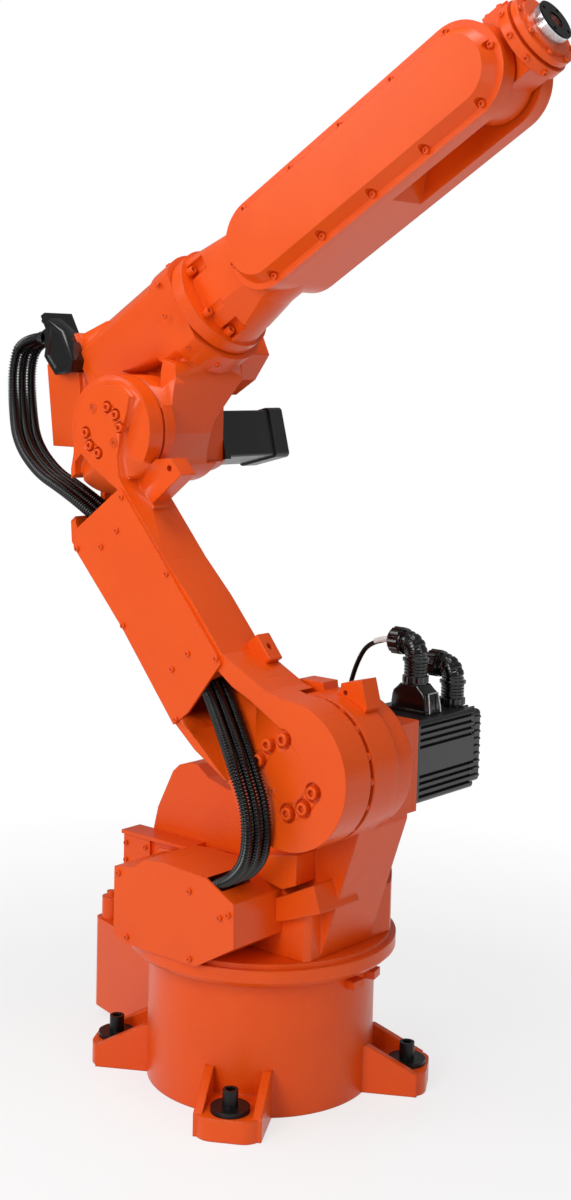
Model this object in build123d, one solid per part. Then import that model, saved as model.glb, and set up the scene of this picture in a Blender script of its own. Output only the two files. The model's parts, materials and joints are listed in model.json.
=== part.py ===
from build123d import *
import os
from math import hypot, radians, tan

# Six-axis industrial robot arm with hoses outside the upper arm, standing on four bolted feet.
# Millimetres. Z is up, the origin lies on the floor on the first axis, the feet follow X and Y.
# The motors are on the arm's +Y side, the covers and hoses on its -Y side.
# A table of shares gives an outline's points as shares of two named sizes, across and up.

# Main sizes of the arm
BASE_TURN = 15.0
SHOULDER_REACH = 185.0
SHOULDER_HEIGHT = 550.0
ARM_LENGTH = 625.0
ARM_LEAN = 38.7
FOREARM_RISE = 32.3
ROLL_OFFSET = 130.0
WRIST_REACH = 770.0
FLANGE_REACH = 133.0

# Gap seen between bodies, gap inside at their bearings, and the overrun of every cut
RUNNING_GAP = 6.0
BEARING_GAP = 0.3
CUT = 20.0

# Base
DRUM_RADIUS = 183.0
DRUM_HEIGHT = 209.0
DRUM_EDGE = 3.0
FOOT_SPACING = 340.0
FOOT_ANGLES = (45, 135, 225, 315)
FOOT_WIDTH = 104.0
FOOT_END = 34.0
FOOT_CORNER = 30.0
FOOT_PAD = 35.0
FOOT_RIB = 14.0
FOOT_RIB_HEIGHT = 76.0
FOOT_RIB_END = 22.0
ANCHOR_HOLE = 18.0
ANCHOR_DIAMETER = 16.0
ANCHOR_HEAD = 24.0
ANCHOR_HEAD_HEIGHT = 26.0
ANCHOR_SOCKET = 14.0
ANCHOR_SOCKET_DEPTH = 9.0
WASHER_DIAMETER = 60.0
WASHER_THICKNESS = 8.0
BACK_BOX_LENGTH = 365.0
BACK_BOX_WIDTH = 216.0
BACK_BOX_HEIGHT = 172.0
BACK_BOX_FOOT = 14.0
BACK_BOX_ROUND = 18.0
GLAND_BACK_INSET = 27.0
GLAND_SIDE_INSET = 20.0
GLAND_RADIUS = 16.0
GLAND_HEIGHT = 48.0
GLAND_NUT = 9.0
STOP_WIDTH = 26.0
STOP_HEIGHT = 13.0
STOP_PROUD = 16.0
STOP_ANGLES = (15, 32)

# Turntable ring, and the turret on it
RING_RADIUS = 216.0
RING_HEIGHT = 35.0
RING_STEP = 9.0
RING_STEP_HEIGHT = 7.0
RING_BEVEL = 8.0
RING_BEARING = 150.0
TURRET_FAR = 45.0
TURRET_NEAR = -78.0
SADDLE_NEAR = -110.0
SADDLE_FAR = 150.0
SADDLE_TOP = 372.0
SADDLE_EDGE = 24.0
SADDLE_SLOPE = 42.0
COLUMN_FOOT_SHARE = 0.98
COLUMN_FRONT = 248.0
COLUMN_KNEE = 457.0
COLUMN_BACK = 20.0
HUB_RADIUS = 112.0
HUB_STEP = 5.0
HUB_STEP_WIDTH = 30.0
HUB_FAR = -8.0
SHOULDER_GAP = 10.0
BEARING_RADIUS = 98.0
BOSS_DEPTH = 94.0
BOSS_SHARES = [(0.643, 0.914), (0.768, 0.938), (1.092, 1.019), (1.173, 0.911), (0.827, 0.844),
    (0.654, 0.817)]
STEP_SHARES = [(0.324, 1.000), (0.497, 1.075), (0.654, 1.099), (0.914, 1.124), (0.908, 0.997),
    (0.773, 0.968)]

# Rear hump and terminal box of the turret
HUMP_NEAR = -70.0
HUMP_FAR = 110.0
HUMP_ROUND = 24.0
HUMP_WIDTH = 250.0
HUMP_BRIDGE_SHARES = [(-0.248, 1.000), (-0.248, 1.306), (0.264, 1.215), (0.264, 1.000)]
HUMP_SHARES = [(-0.820, 0.672), (-0.760, 0.914), (-0.684, 1.124), (-0.556, 1.298),
    (-0.500, 1.333), (-0.400, 1.355), (-0.340, 1.352), (-0.248, 1.306), (-0.248, 1.000)]
TERMINAL_BACK = -209.0
TERMINAL_LENGTH = 59.0
TERMINAL_HEIGHT = 51.0
TERMINAL_DEPTH = 40.0
TERMINAL_TOP = 380.0
TERMINAL_LID = 6.0
TERMINAL_LID_LENGTH = 148.0
TERMINAL_LIP = 3.0
TERMINAL_PANEL = 85.0
TERMINAL_PANEL_INSET = 6.0

# Junction box on the near side of the turret
BOX_PLANE = -222.0
BOX_COVER = 4.0
BOX_LENGTH = 248.0
BOX_TOP = 389.0
BOX_SHARES = [(-0.476, 0.653), (-0.476, 0.931), (-0.315, 0.946), (-0.210, 0.992), (-0.048, 1.000),
    (0.298, 0.987), (0.524, 0.915), (0.532, 0.743), (0.226, 0.627), (-0.363, 0.627)]
BOX_MOUTH = 66.0
MOUTH_WIDTH = 28.0

# Shoulder motor, its connectors and cable
MOTOR_SIDE = 130.0
MOTOR_PLATE_SIDE = 142.0
MOTOR_PLATE = 12.0
MOTOR_BODY = 150.0
MOTOR_FLANGE = 14.0
MOTOR_CAP = 26.0
MOTOR_CAP_SIDE = 118.0
MOTOR_DROP = 11.0
MOTOR_CORNER = 7.0
FIN_SLOT = 5.0
FIN_DEPTH = 8.0
FIN_SHARES = (-0.41, -0.33, -0.25, -0.17, 0.19, 0.27, 0.35, 0.43)
HOOD_LENGTH = 76.0
HOOD_WIDTH = 44.0
HOOD_HEIGHT = 44.0
HOOD_TAPER = 9.0
HOOD_PLACE = 76.0
PLUG_RADIUS = 19.0
PLUG_RISE = 84.0
PLUG_REACH = 70.0
PLUG_STEP = 3.0
ROUND_PLUG_PLACE = 158.0
ROUND_PLUG_FORWARD = 25.0
CABLE_DIAMETER = 8.0
CABLE_ROUTE = [(128, 133, 709), (100, 133, 702), (79, 132, 670), (66, 129, 626), (60, 122, 566),
               (54, 111, 500), (46, 98, 446), (46, 98, 398)]
CABLE_GLAND_RADIUS = 12.0
CABLE_GLAND_HEIGHT = 30.0

# Stop bracket on top of the shoulder
BRACKET_NEAR = -77.0
BRACKET_FAR = -42.0
BRACKET_SHARES = [(-0.589, 0.714), (-0.518, 1.107), (-0.107, 1.107), (-0.089, 1.009),
    (0.179, 1.009), (0.196, 1.143), (0.536, 1.232), (0.643, 0.857), (0.536, 0.714)]
BRACKET_HOLE = 4.0
BRACKET_HOLE_SHARES = (0.27, 1.02)

# Upper arm
ARM_NEAR = -176.0
ARM_HUB_FAR = -118.0
ARM_BEAM_FAR = -84.0
ELBOW_HUB_RADIUS = 88.0
ELBOW_HUB_FAR = -129.0
ELBOW_DISC_NEAR = -160.0
ELBOW_BEARING = 74.0
ARM_WALL = 13.0
ARM_SHARES = [(0.705, 1.011), (0.527, 0.984), (0.250, 0.957), (0.009, 0.917), (-0.143, 0.875),
    (-0.152, 0.826), (-0.098, 0.616), (-0.018, 0.491), (0.018, 0.333), (0.375, 0.192),
    (0.929, 0.067), (0.000, 0.000), (-0.929, 0.067), (-1.205, 0.192), (-1.339, 0.304),
    (-1.348, 0.558), (-1.491, 0.838), (-1.321, 0.883), (-0.857, 0.990), (-0.679, 1.016),
    (-0.473, 1.062), (-0.205, 1.101), (0.098, 1.114), (0.357, 1.094), (0.589, 1.064)]
HOLLOW_SHARES = [(-1.223, 0.282), (-1.232, 0.560), (-1.357, 0.824), (-1.223, 0.845),
    (-0.268, 0.842), (-0.250, 0.829), (-0.214, 0.616), (-0.143, 0.491), (-0.125, 0.328),
    (-0.893, 0.282)]
COVER_SHARES = [(-0.205, 0.845), (-1.223, 0.851), (-1.464, 0.821), (-1.339, 0.558),
    (-1.304, 0.275), (-0.964, 0.274), (-0.054, 0.314), (-0.036, 0.344), (-0.170, 0.829)]
COVER_THICKNESS = 5.0
LOWER_WINDOW_SHARES = [(-0.473, 0.307), (-0.893, 0.307), (-1.062, 0.296), (-1.134, 0.238),
    (-0.946, 0.072), (-0.366, 0.080), (0.339, 0.080), (0.054, 0.205), (-0.089, 0.253),
    (-0.179, 0.307)]
UPPER_WINDOW_SHARES = [(-0.554, 0.998), (-0.732, 0.995), (-0.946, 0.944), (-1.250, 0.872),
    (-1.304, 0.832), (-0.357, 0.832), (-0.268, 0.850), (-0.491, 0.950)]
RAMP_START_SHARE = 0.42
RAMP_END_SHARE = 0.32
HOSE_NOTCH_SHARES = [(-0.804, 0.970), (-1.429, 0.970), (-1.607, 0.883), (-0.982, 0.883)]
LUG_NEAR = -140.0
LUG_FAR = -106.0
LUG_SHARES = [(-0.670, -0.048), (-0.670, 0.048), (-0.125, 0.045), (0.116, 0.016), (0.134, -0.043),
    (-0.071, -0.053)]
LUG_PLACE_SHARES = [(0.473, 0.819), (0.598, 0.285)]
LUG_HOLE = 5.0
HUB_BOLT_RADIUS = 54.0
HUB_BOLT_ANGLES = (-122.7, -88.7, -54.7, 57.3, 91.3, 125.3)
HUB_BOLT_POCKET = 15.0
ELBOW_BOLT_RADIUS = 38.0
ELBOW_BOLT_ANGLES = (-30.2, 3.3, 36.8, 149.8, 183.3, 216.8)
ELBOW_BOLT_POCKET = 10.0
BOLT_POCKET_DEPTH = 7.0

# Elbow housing
REAR_BOX_NEAR = -79.0
HOUSING_NEAR = -66.0
HOUSING_FAR = 60.0
FRONT_WALL_NEAR = -100.0
ELBOW_DRUM_FAR = 18.0
TUBE_RADIUS = 95.0
TUBE_BACK = -76.0
TUBE_LIP = 99.0
TUBE_LIP_LENGTH = 44.0
ROLL_GAP = 168.0
REAR_BOX_SHARES = [(-2.330, 0.955), (-1.670, 2.375), (-0.875, 2.625), (-0.659, 2.455),
    (-1.330, 1.114), (-1.818, 0.636)]
WEB_SHARES = [(-1.818, 0.636), (-1.330, 1.114), (-0.659, 2.455), (0.045, 2.318), (0.909, 1.705),
    (1.443, 0.523), (1.341, 0.318), (0.659, -0.477), (0.000, 0.000)]
FRONT_WALL_SHARES = [(1.057, 0.568), (1.227, 0.750), (1.443, 0.523), (1.341, 0.318),
    (0.659, -0.477), (0.500, -0.705), (0.682, 0.000)]
POCKET_SHARES = [(0.023, 1.227), (0.909, 1.011), (1.068, 0.568), (1.011, 0.023), (0.682, 0.000),
    (0.000, 0.682)]
POCKET_FAR = -20.0
WALL_CUT_START = 45.0
WALL_CUT_SHARES = [(0.705, 0.966), (0.057, 0.170), (-0.068, -0.352), (-0.068, -1.477),
    (1.023, -1.477), (1.023, 0.966)]
FAR_BOX_FAR = 128.0
FAR_BOX_SHARES = [(0.455, 0.455), (0.455, 1.273), (1.636, 1.273), (1.568, 0.682), (1.023, 0.455)]
ELBOW_MOTOR_SIDE = 88.0
ELBOW_MOTOR_TURN = 15
ELBOW_MOTOR_DROP = 19.0
ELBOW_MOTOR_FLANGE = 12.0
ELBOW_MOTOR_BODY = 120.0
ELBOW_MOTOR_CAP = 34.0
ELBOW_MOTOR_STEP = 4.0
HOSE_PLATE_NEAR = -76.0
HOSE_PLATE_FAR = -12.0
HOSE_PLATE_TILT = -30
HOSE_PLATE_LENGTH = 112.0
HOSE_PLATE_THICKNESS = 11.0
HOSE_HOOD_LENGTH = 66.0
HOSE_HOOD_DEPTH = 18.0
HOSE_HOOD_DROP = 24.0
HOSE_HOOD_INSET = 5.0

# Forearm
NECK_RADIUS = 90.0
NECK_PLATE = 24.0
NECK_EDGE = 5.0
NECK_TAPER_END = 290.0
NECK_FACET_ANGLE = 33
NECK_FACET = 66.0
NECK_BOLT_RADIUS = 74.0
NECK_BOLT_ANGLES = (12, 54, 117, 154)
NECK_POCKET = 12.0
NECK_POCKET_LENGTH = 35.0
ROLL_BEARING = 72.0
FOREARM_HALF = 58.0
COVER_START = 348.0
COVER_RADIUS = 72.0
COVER_FLANGE = 7.0
COVER_RISE = 21.0
COVER_INNER = 62.0
COVER_DRAFT = 30
COVER_BOLT_ROW = 61.0
COVER_BOLT_PITCH = 108.0
COVER_BOLT_SPOTS = 5
COVER_BOLT_POCKET = 8.0
FORK_DEPTH = 130.0
FORK_SLANT = 70.0
FORK_WALL = 22.0

# Wrist
WRIST_HUB_RADIUS = 62.0
WRIST_HALF = 30.0
WRIST_BEARING = 34.0
WRIST_RING_RADIUS = 60.0
WRIST_RING_BACK = 80.0
WRIST_RING_GAP = 97.0
WRIST_GAP_WIDTH = 4.0
WRIST_GAP_RADIUS = 48.0
WRIST_RING_FRONT = 112.0
WRIST_NOSE_FRONT = 116.0
WRIST_FRONT_RADIUS = 57.0
WRIST_NOSE_RADIUS = 46.0
WRIST_NECK_HALF = 48.0
WRIST_COVER_LENGTH = 36.0
WRIST_COVER_WIDTH = 34.0
WRIST_COVER_RISE = 18.0
FLANGE_RADIUS = 31.5
FLANGE_LIP = 5.0
FLANGE_NECK = 29.5
FLANGE_BORE = 12.5
FLANGE_CIRCLE = 50.0
FLANGE_HOLE = 6.0

# Hoses: conduits side by side, along these routes of their middle one
CONDUIT_DIAMETER = 18.5
CONDUIT_PITCH = 21.0
RUN_SHARE = 0.45
LOWER_ROUTE = [(40, -187, 338), (74, -187, 368), (115, -188, 388), (159, -207, 432), (163, -213, 500),
               (137, -213, 558), (89, -186, 601), (10, -138, 655), (-37, -138, 697), (-77, -138, 731)]
UPPER_ROUTE = [(-463, -46, 1183), (-520, -46, 1180), (-542, -48, 1134), (-524, -60, 1056),
               (-476, -92, 1002), (-393, -122, 958), (-312, -142, 937), (-250, -145, 909),
               (-196, -145, 879), (-156, -145, 841)]


def polygon(points):
    return make_face(Polyline(*points, close=True))


def outline(shares, across, up, forward=0.0, rise=0.0):
    """A flat outline from a table of shares of two sizes."""
    return polygon([(forward + x * across, rise + z * up) for x, z in shares])


def slab(face, near, far):
    """A flat outline, x forward and y up, as a slab between two places along Y."""
    return Pos(0, far, 0) * extrude(Plane.XZ * face, far - near)


def drum(radius, near, far, forward=0.0, up=0.0):
    return slab(Pos(forward, up) * Circle(radius), near, far)


def block(length, height, near, far, forward=0.0, up=0.0):
    """A box between two places along Y, centred on a place seen from the side."""
    return slab(Pos(forward, up) * Rectangle(length, height), near, far)


def stadium(start, end, radius):
    """A band between two round ends along X."""
    return Pos((start + end) / 2, 0) * SlotCenterToCenter(end - start, 2 * radius)


def rod(radius, start, end):
    """A round bar along X."""
    return Pos(start, 0, 0) * extrude(Plane.YZ * Circle(radius), end - start)


def post(radius, floor, top, forward=0.0, side=0.0):
    """A round bar along Z."""
    return Pos(forward, side, floor) * extrude(Circle(radius), top - floor)


def turned(profile):
    """A profile of places along X and radii, turned about X."""
    return revolve(Plane.XZ * polygon(profile), Axis.X)


def chain(route, name):
    """The centre line of a cord: its runs, with an arc at every corner."""
    points = [Vector(*place) for place in route]
    runs = [after - before for before, after in zip(points, points[1:])]
    radii = []
    for before, after in zip(runs, runs[1:]):
        turn = radians(before.get_angle(after))
        radii.append(RUN_SHARE * min(before.length, after.length) / tan(turn / 2))
    line = FilletPolyline(*points, radius=radii)
    print(name, "length", round(line.length), "radii", [round(radius) for radius in radii])
    return line


def cord(route, diameter, name):
    line = chain(route, name)
    section = Plane(origin=line @ 0, z_dir=line % 0) * Circle(diameter / 2)
    piece = sweep(section, path=line)
    share = piece.volume / (section.area * line.length)
    print(name, "volume as a share of section by length", round(share, 3))
    return piece


TURRET = Rot(0, 0, BASE_TURN)
ARM = TURRET * Pos(SHOULDER_REACH, 0, SHOULDER_HEIGHT) * Rot(0, -ARM_LEAN, 0)
ELBOW = ARM * Pos(0, 0, ARM_LENGTH) * Rot(0, ARM_LEAN - FOREARM_RISE, 0)
ELBOW_UPRIGHT = ARM * Pos(0, 0, ARM_LENGTH) * Rot(0, ARM_LEAN, 0)
FOREARM = ELBOW * Pos(0, 0, ROLL_OFFSET)
WRIST = FOREARM * Pos(WRIST_REACH, 0, 0)
FLANGE = WRIST * Pos(FLANGE_REACH, 0, 0)

RING_FLOOR = DRUM_HEIGHT + RUNNING_GAP
RING_TOP = RING_FLOOR + RING_HEIGHT
HUB_NEAR = ARM_HUB_FAR + SHOULDER_GAP
ELBOW_HUB_NEAR = ELBOW_HUB_FAR + RUNNING_GAP
FOOT_CIRCLE = FOOT_SPACING / 2 * hypot(1, 1)
COLUMN_FOOT = SHOULDER_REACH * COLUMN_FOOT_SHARE


def base_casting():
    body = post(DRUM_RADIUS, 0, DRUM_HEIGHT)
    body = fillet(body.edges().group_by(Axis.Z)[-1], DRUM_EDGE)
    end = FOOT_CIRCLE + FOOT_END
    rib_end = FOOT_CIRCLE + FOOT_RIB_END
    for angle in FOOT_ANGLES:
        pad = Pos(end / 2, 0) * Rectangle(end, FOOT_WIDTH)
        pad = fillet(pad.vertices().group_by(Axis.X)[-1], FOOT_CORNER)
        foot = extrude(pad, FOOT_PAD)
        rib = polygon([(0, 0), (rib_end, 0), (rib_end, FOOT_PAD), (DRUM_RADIUS, FOOT_RIB_HEIGHT),
                       (0, FOOT_RIB_HEIGHT)])
        for side in (-1, 1):
            middle = side * (FOOT_WIDTH - FOOT_RIB) / 2
            foot += slab(rib, middle - FOOT_RIB / 2, middle + FOOT_RIB / 2)
        foot -= post(ANCHOR_HOLE / 2, -CUT, FOOT_PAD + CUT, FOOT_CIRCLE)
        body += Rot(0, 0, angle) * foot
    return body


def base_stop_blocks():
    """Two stop blocks at the drum's top edge."""
    blocks = []
    reach = DRUM_RADIUS + STOP_PROUD
    for angle in STOP_ANGLES:
        block_top = DRUM_HEIGHT - DRUM_EDGE - RUNNING_GAP
        piece = Pos(reach / 2, 0, block_top - STOP_HEIGHT / 2) * Box(reach, STOP_WIDTH, STOP_HEIGHT)
        blocks.append(Rot(0, 0, angle) * (piece - post(DRUM_RADIUS, 0, DRUM_HEIGHT)))
    return Compound(children=blocks)


def anchor_bolts():
    bolts = []
    washer_top = FOOT_PAD + WASHER_THICKNESS
    head_top = washer_top + ANCHOR_HEAD_HEIGHT
    hexagon = RegularPolygon(ANCHOR_SOCKET / 2, 6, major_radius=False)
    socket = Pos(FOOT_CIRCLE, 0, head_top - ANCHOR_SOCKET_DEPTH) * extrude(hexagon, CUT)
    for angle in FOOT_ANGLES:
        bolt = post(WASHER_DIAMETER / 2, FOOT_PAD, washer_top, FOOT_CIRCLE)
        bolt += post(ANCHOR_HEAD / 2, washer_top, head_top, FOOT_CIRCLE)
        bolt += post(ANCHOR_DIAMETER / 2, 0, FOOT_PAD, FOOT_CIRCLE)
        bolts.append(Rot(0, 0, angle) * (bolt - socket))
    return Compound(children=bolts)


def base_connector_box():
    face = Pos(-BACK_BOX_LENGTH / 2, 0) * Rectangle(BACK_BOX_LENGTH, BACK_BOX_WIDTH)
    face = fillet(face.vertices().group_by(Axis.X)[0], BACK_BOX_ROUND)
    box = Pos(0, 0, BACK_BOX_FOOT) * extrude(face, BACK_BOX_HEIGHT - BACK_BOX_FOOT)
    return box - base_casting()


def base_cable_gland():
    """Gland on top of the connector box."""
    place = GLAND_BACK_INSET - BACK_BOX_LENGTH
    side = GLAND_SIDE_INSET - BACK_BOX_WIDTH / 2
    nut_floor = BACK_BOX_HEIGHT + GLAND_HEIGHT - GLAND_NUT
    body = post(GLAND_RADIUS, BACK_BOX_HEIGHT, nut_floor, place, side)
    return body + post(GLAND_RADIUS / 2, nut_floor, nut_floor + GLAND_NUT, place, side)


def turntable_ring():
    inner = RING_RADIUS - RING_STEP
    profile = polygon([
        (0, RING_FLOOR), (RING_RADIUS - RING_BEVEL, RING_FLOOR), (RING_RADIUS, RING_FLOOR + RING_BEVEL),
        (RING_RADIUS, RING_TOP - RING_STEP_HEIGHT), (inner, RING_TOP - RING_STEP_HEIGHT),
        (inner, RING_TOP), (0, RING_TOP)])
    body = revolve(Plane.XZ * profile, Axis.Z)
    return body + post(RING_BEARING, DRUM_HEIGHT + BEARING_GAP, RING_FLOOR)


def saddle():
    """The broad foot of the turret on the ring."""
    face = polygon([
        (-HUMP_WIDTH * COLUMN_FOOT_SHARE, RING_TOP), (COLUMN_FOOT, RING_TOP),
        (COLUMN_FOOT, SADDLE_TOP - SADDLE_SLOPE), (SHOULDER_REACH / 2, SADDLE_TOP),
        (-HUMP_WIDTH / 2, SADDLE_TOP)])
    body = slab(face, SADDLE_NEAR, SADDLE_FAR)
    body = fillet(body.edges().group_by(Axis.Z)[-1].filter_by(Axis.X), SADDLE_EDGE)
    return body & post(RING_RADIUS - RING_STEP, RING_TOP, SADDLE_TOP)


def turret_casting():
    column = polygon([
        (COLUMN_BACK, RING_TOP), (COLUMN_FOOT, RING_TOP), (COLUMN_FRONT, COLUMN_KNEE),
        (COLUMN_FRONT, SHOULDER_HEIGHT + HUB_RADIUS / 2), (SHOULDER_REACH, SHOULDER_HEIGHT),
        (SHOULDER_REACH - HUB_RADIUS, SHOULDER_HEIGHT)])
    body = saddle() + slab(column, TURRET_NEAR, TURRET_FAR)
    step = TURRET_NEAR + HUB_STEP_WIDTH
    body += drum(HUB_RADIUS, HUB_NEAR, step, SHOULDER_REACH, SHOULDER_HEIGHT)
    body += drum(HUB_RADIUS - HUB_STEP, step, HUB_FAR, SHOULDER_REACH, SHOULDER_HEIGHT)
    body += block(MOTOR_PLATE_SIDE, MOTOR_PLATE_SIDE, HUB_FAR, TURRET_FAR, SHOULDER_REACH, MOTOR_HEIGHT)
    body += drum(BEARING_RADIUS, ARM_HUB_FAR + BEARING_GAP, HUB_NEAR, SHOULDER_REACH, SHOULDER_HEIGHT)
    for shares in (BOSS_SHARES, STEP_SHARES):
        boss = outline(shares, SHOULDER_REACH, SADDLE_TOP)
        body += slab(boss, TURRET_NEAR - BOSS_DEPTH / 2, TURRET_NEAR + BOSS_DEPTH / 2)
    return body


def shoulder_stop_bracket():
    face = outline(BRACKET_SHARES, HUB_RADIUS, HUB_RADIUS, SHOULDER_REACH, SHOULDER_HEIGHT)
    body = slab(face, BRACKET_NEAR, BRACKET_FAR)
    across, up = BRACKET_HOLE_SHARES
    body -= drum(BRACKET_HOLE, BRACKET_NEAR - CUT, BRACKET_FAR + CUT,
                 SHOULDER_REACH + across * HUB_RADIUS, SHOULDER_HEIGHT + up * HUB_RADIUS)
    return body - turret_casting()


def rear_hump():
    face = outline(HUMP_SHARES, HUMP_WIDTH, SADDLE_TOP)
    body = slab(face, HUMP_NEAR, HUMP_FAR)
    body = fillet(body.edges().filter_by(Axis.Y).group_by(Axis.Z)[-1], HUMP_ROUND)
    body += slab(outline(HUMP_BRIDGE_SHARES, HUMP_WIDTH, SADDLE_TOP), HUMP_NEAR, TURRET_FAR)
    body = body - turret_casting() - turntable_ring()
    return body.solids().sort_by(SortBy.VOLUME)[-1]


def rear_terminal_box():
    """Small box on the near side of the hump, under a long lid."""
    lid_floor = TERMINAL_TOP - TERMINAL_LID
    near = HUMP_NEAR - TERMINAL_DEPTH
    middle = TERMINAL_BACK + TERMINAL_LENGTH / 2
    box = block(TERMINAL_LENGTH, TERMINAL_HEIGHT, near, HUMP_NEAR, middle, lid_floor - TERMINAL_HEIGHT / 2)
    lid_middle = TERMINAL_BACK - TERMINAL_LIP + TERMINAL_LID_LENGTH / 2
    lid = block(TERMINAL_LID_LENGTH, TERMINAL_LID, near - TERMINAL_LIP, HUMP_NEAR,
                lid_middle, lid_floor + TERMINAL_LID / 2)
    panel_near = near + TERMINAL_PANEL_INSET
    panel_middle = TERMINAL_BACK + TERMINAL_LENGTH + TERMINAL_PANEL / 2
    panel = block(TERMINAL_PANEL, TERMINAL_HEIGHT, panel_near, HUMP_NEAR,
                  panel_middle, lid_floor - TERMINAL_HEIGHT / 2)
    return box + panel + lid - turret_casting() - rear_hump()


def junction_box():
    near = BOX_PLANE + BOX_COVER
    body = slab(outline(BOX_SHARES, BOX_LENGTH, BOX_TOP), near, SADDLE_NEAR)
    body -= slab(box_mouth(), near - CUT, near + BOX_MOUTH)
    return body - turret_casting() - turntable_ring() - rear_terminal_box()


def box_mouth():
    """The slot where the hoses leave the box, along their first runs."""
    places = [Vector(x, z) for x, y, z in LOWER_ROUTE[:3]]
    along = (places[1] - places[0]).normalized()
    across = along.rotate(Axis.Z, 90) * MOUTH_WIDTH / 2
    places[0] -= along * BEARING_GAP
    places[2] += along * CUT
    above = [place + across for place in places]
    below = [place - across for place in places]
    return polygon(above + below[::-1])


def junction_box_cover():
    return slab(outline(BOX_SHARES, BOX_LENGTH, BOX_TOP), BOX_PLANE, BOX_PLANE + BOX_COVER)


MOTOR_HEIGHT = SHOULDER_HEIGHT - MOTOR_DROP
FLANGE_START = TURRET_FAR + MOTOR_PLATE
BODY_START = FLANGE_START + MOTOR_FLANGE
BODY_END = BODY_START + MOTOR_BODY
MOTOR_TOP = MOTOR_HEIGHT + MOTOR_SIDE / 2


def shoulder_motor_plate():
    return block(MOTOR_PLATE_SIDE, MOTOR_PLATE_SIDE, TURRET_FAR, FLANGE_START, SHOULDER_REACH, MOTOR_HEIGHT)


def shoulder_motor():
    """Square motor with a plain flange and long fins on all four sides."""
    face = Pos(SHOULDER_REACH, MOTOR_HEIGHT) * RectangleRounded(MOTOR_SIDE, MOTOR_SIDE, MOTOR_CORNER)
    body = slab(face, FLANGE_START, BODY_END)
    for share in FIN_SHARES:
        for side in (-1, 1):
            edge = side * MOTOR_SIDE / 2
            place = share * MOTOR_SIDE
            body -= block(2 * FIN_DEPTH, FIN_SLOT, BODY_START, BODY_END + CUT,
                          SHOULDER_REACH + edge, MOTOR_HEIGHT + place)
    for share in FIN_SHARES:
        place = share * MOTOR_SIDE
        body -= block(FIN_SLOT, FIN_DEPTH, BODY_START, BODY_END + CUT,
                      SHOULDER_REACH + place, MOTOR_HEIGHT - MOTOR_SIDE / 2)
    return body


def shoulder_motor_cap():
    face = Pos(SHOULDER_REACH, MOTOR_HEIGHT) * RectangleRounded(MOTOR_CAP_SIDE, MOTOR_CAP_SIDE, MOTOR_CORNER)
    return slab(face, BODY_END, BODY_END + MOTOR_CAP)


def elbow_plug(forward, side, floor, rise):
    """Cable connector: an upright body, a quarter bend and a nut that points back."""
    body = post(PLUG_RADIUS, floor, floor + rise - PLUG_RADIUS, forward, side)
    body += post(PLUG_RADIUS + PLUG_STEP, floor + rise / 2, floor + rise / 2 + PLUG_STEP * 2, forward, side)
    corner = Pos(forward, side, floor + rise - PLUG_RADIUS)
    body += corner * Sphere(PLUG_RADIUS)
    body += corner * rod(PLUG_RADIUS, -PLUG_RADIUS, 0)
    body += corner * rod(PLUG_RADIUS + PLUG_STEP, PLUG_RADIUS - PLUG_REACH, -PLUG_RADIUS)
    return body


def motor_hood_connector():
    """Rectangular hood on the motor, with its cable connector on top."""
    side = FLANGE_START + HOOD_PLACE
    hood = Pos(SHOULDER_REACH + HOOD_TAPER, side, MOTOR_TOP) * extrude(
        Rectangle(HOOD_LENGTH, HOOD_WIDTH), HOOD_HEIGHT, taper=HOOD_TAPER)
    return hood + elbow_plug(SHOULDER_REACH + HOOD_TAPER, side, MOTOR_TOP + HOOD_HEIGHT, PLUG_RISE)


def motor_round_connector():
    forward = SHOULDER_REACH + ROUND_PLUG_FORWARD
    return elbow_plug(forward, FLANGE_START + ROUND_PLUG_PLACE, MOTOR_TOP, PLUG_RISE)


def cable_gland():
    """Gland on the turret where the motor's cable goes in."""
    x, y, z = CABLE_ROUTE[-1]
    gland = post(CABLE_GLAND_RADIUS, SADDLE_TOP, SADDLE_TOP + CABLE_GLAND_HEIGHT, x, y)
    return gland - post(CABLE_DIAMETER, z, SADDLE_TOP + CABLE_GLAND_HEIGHT + CUT, x, y)


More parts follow.
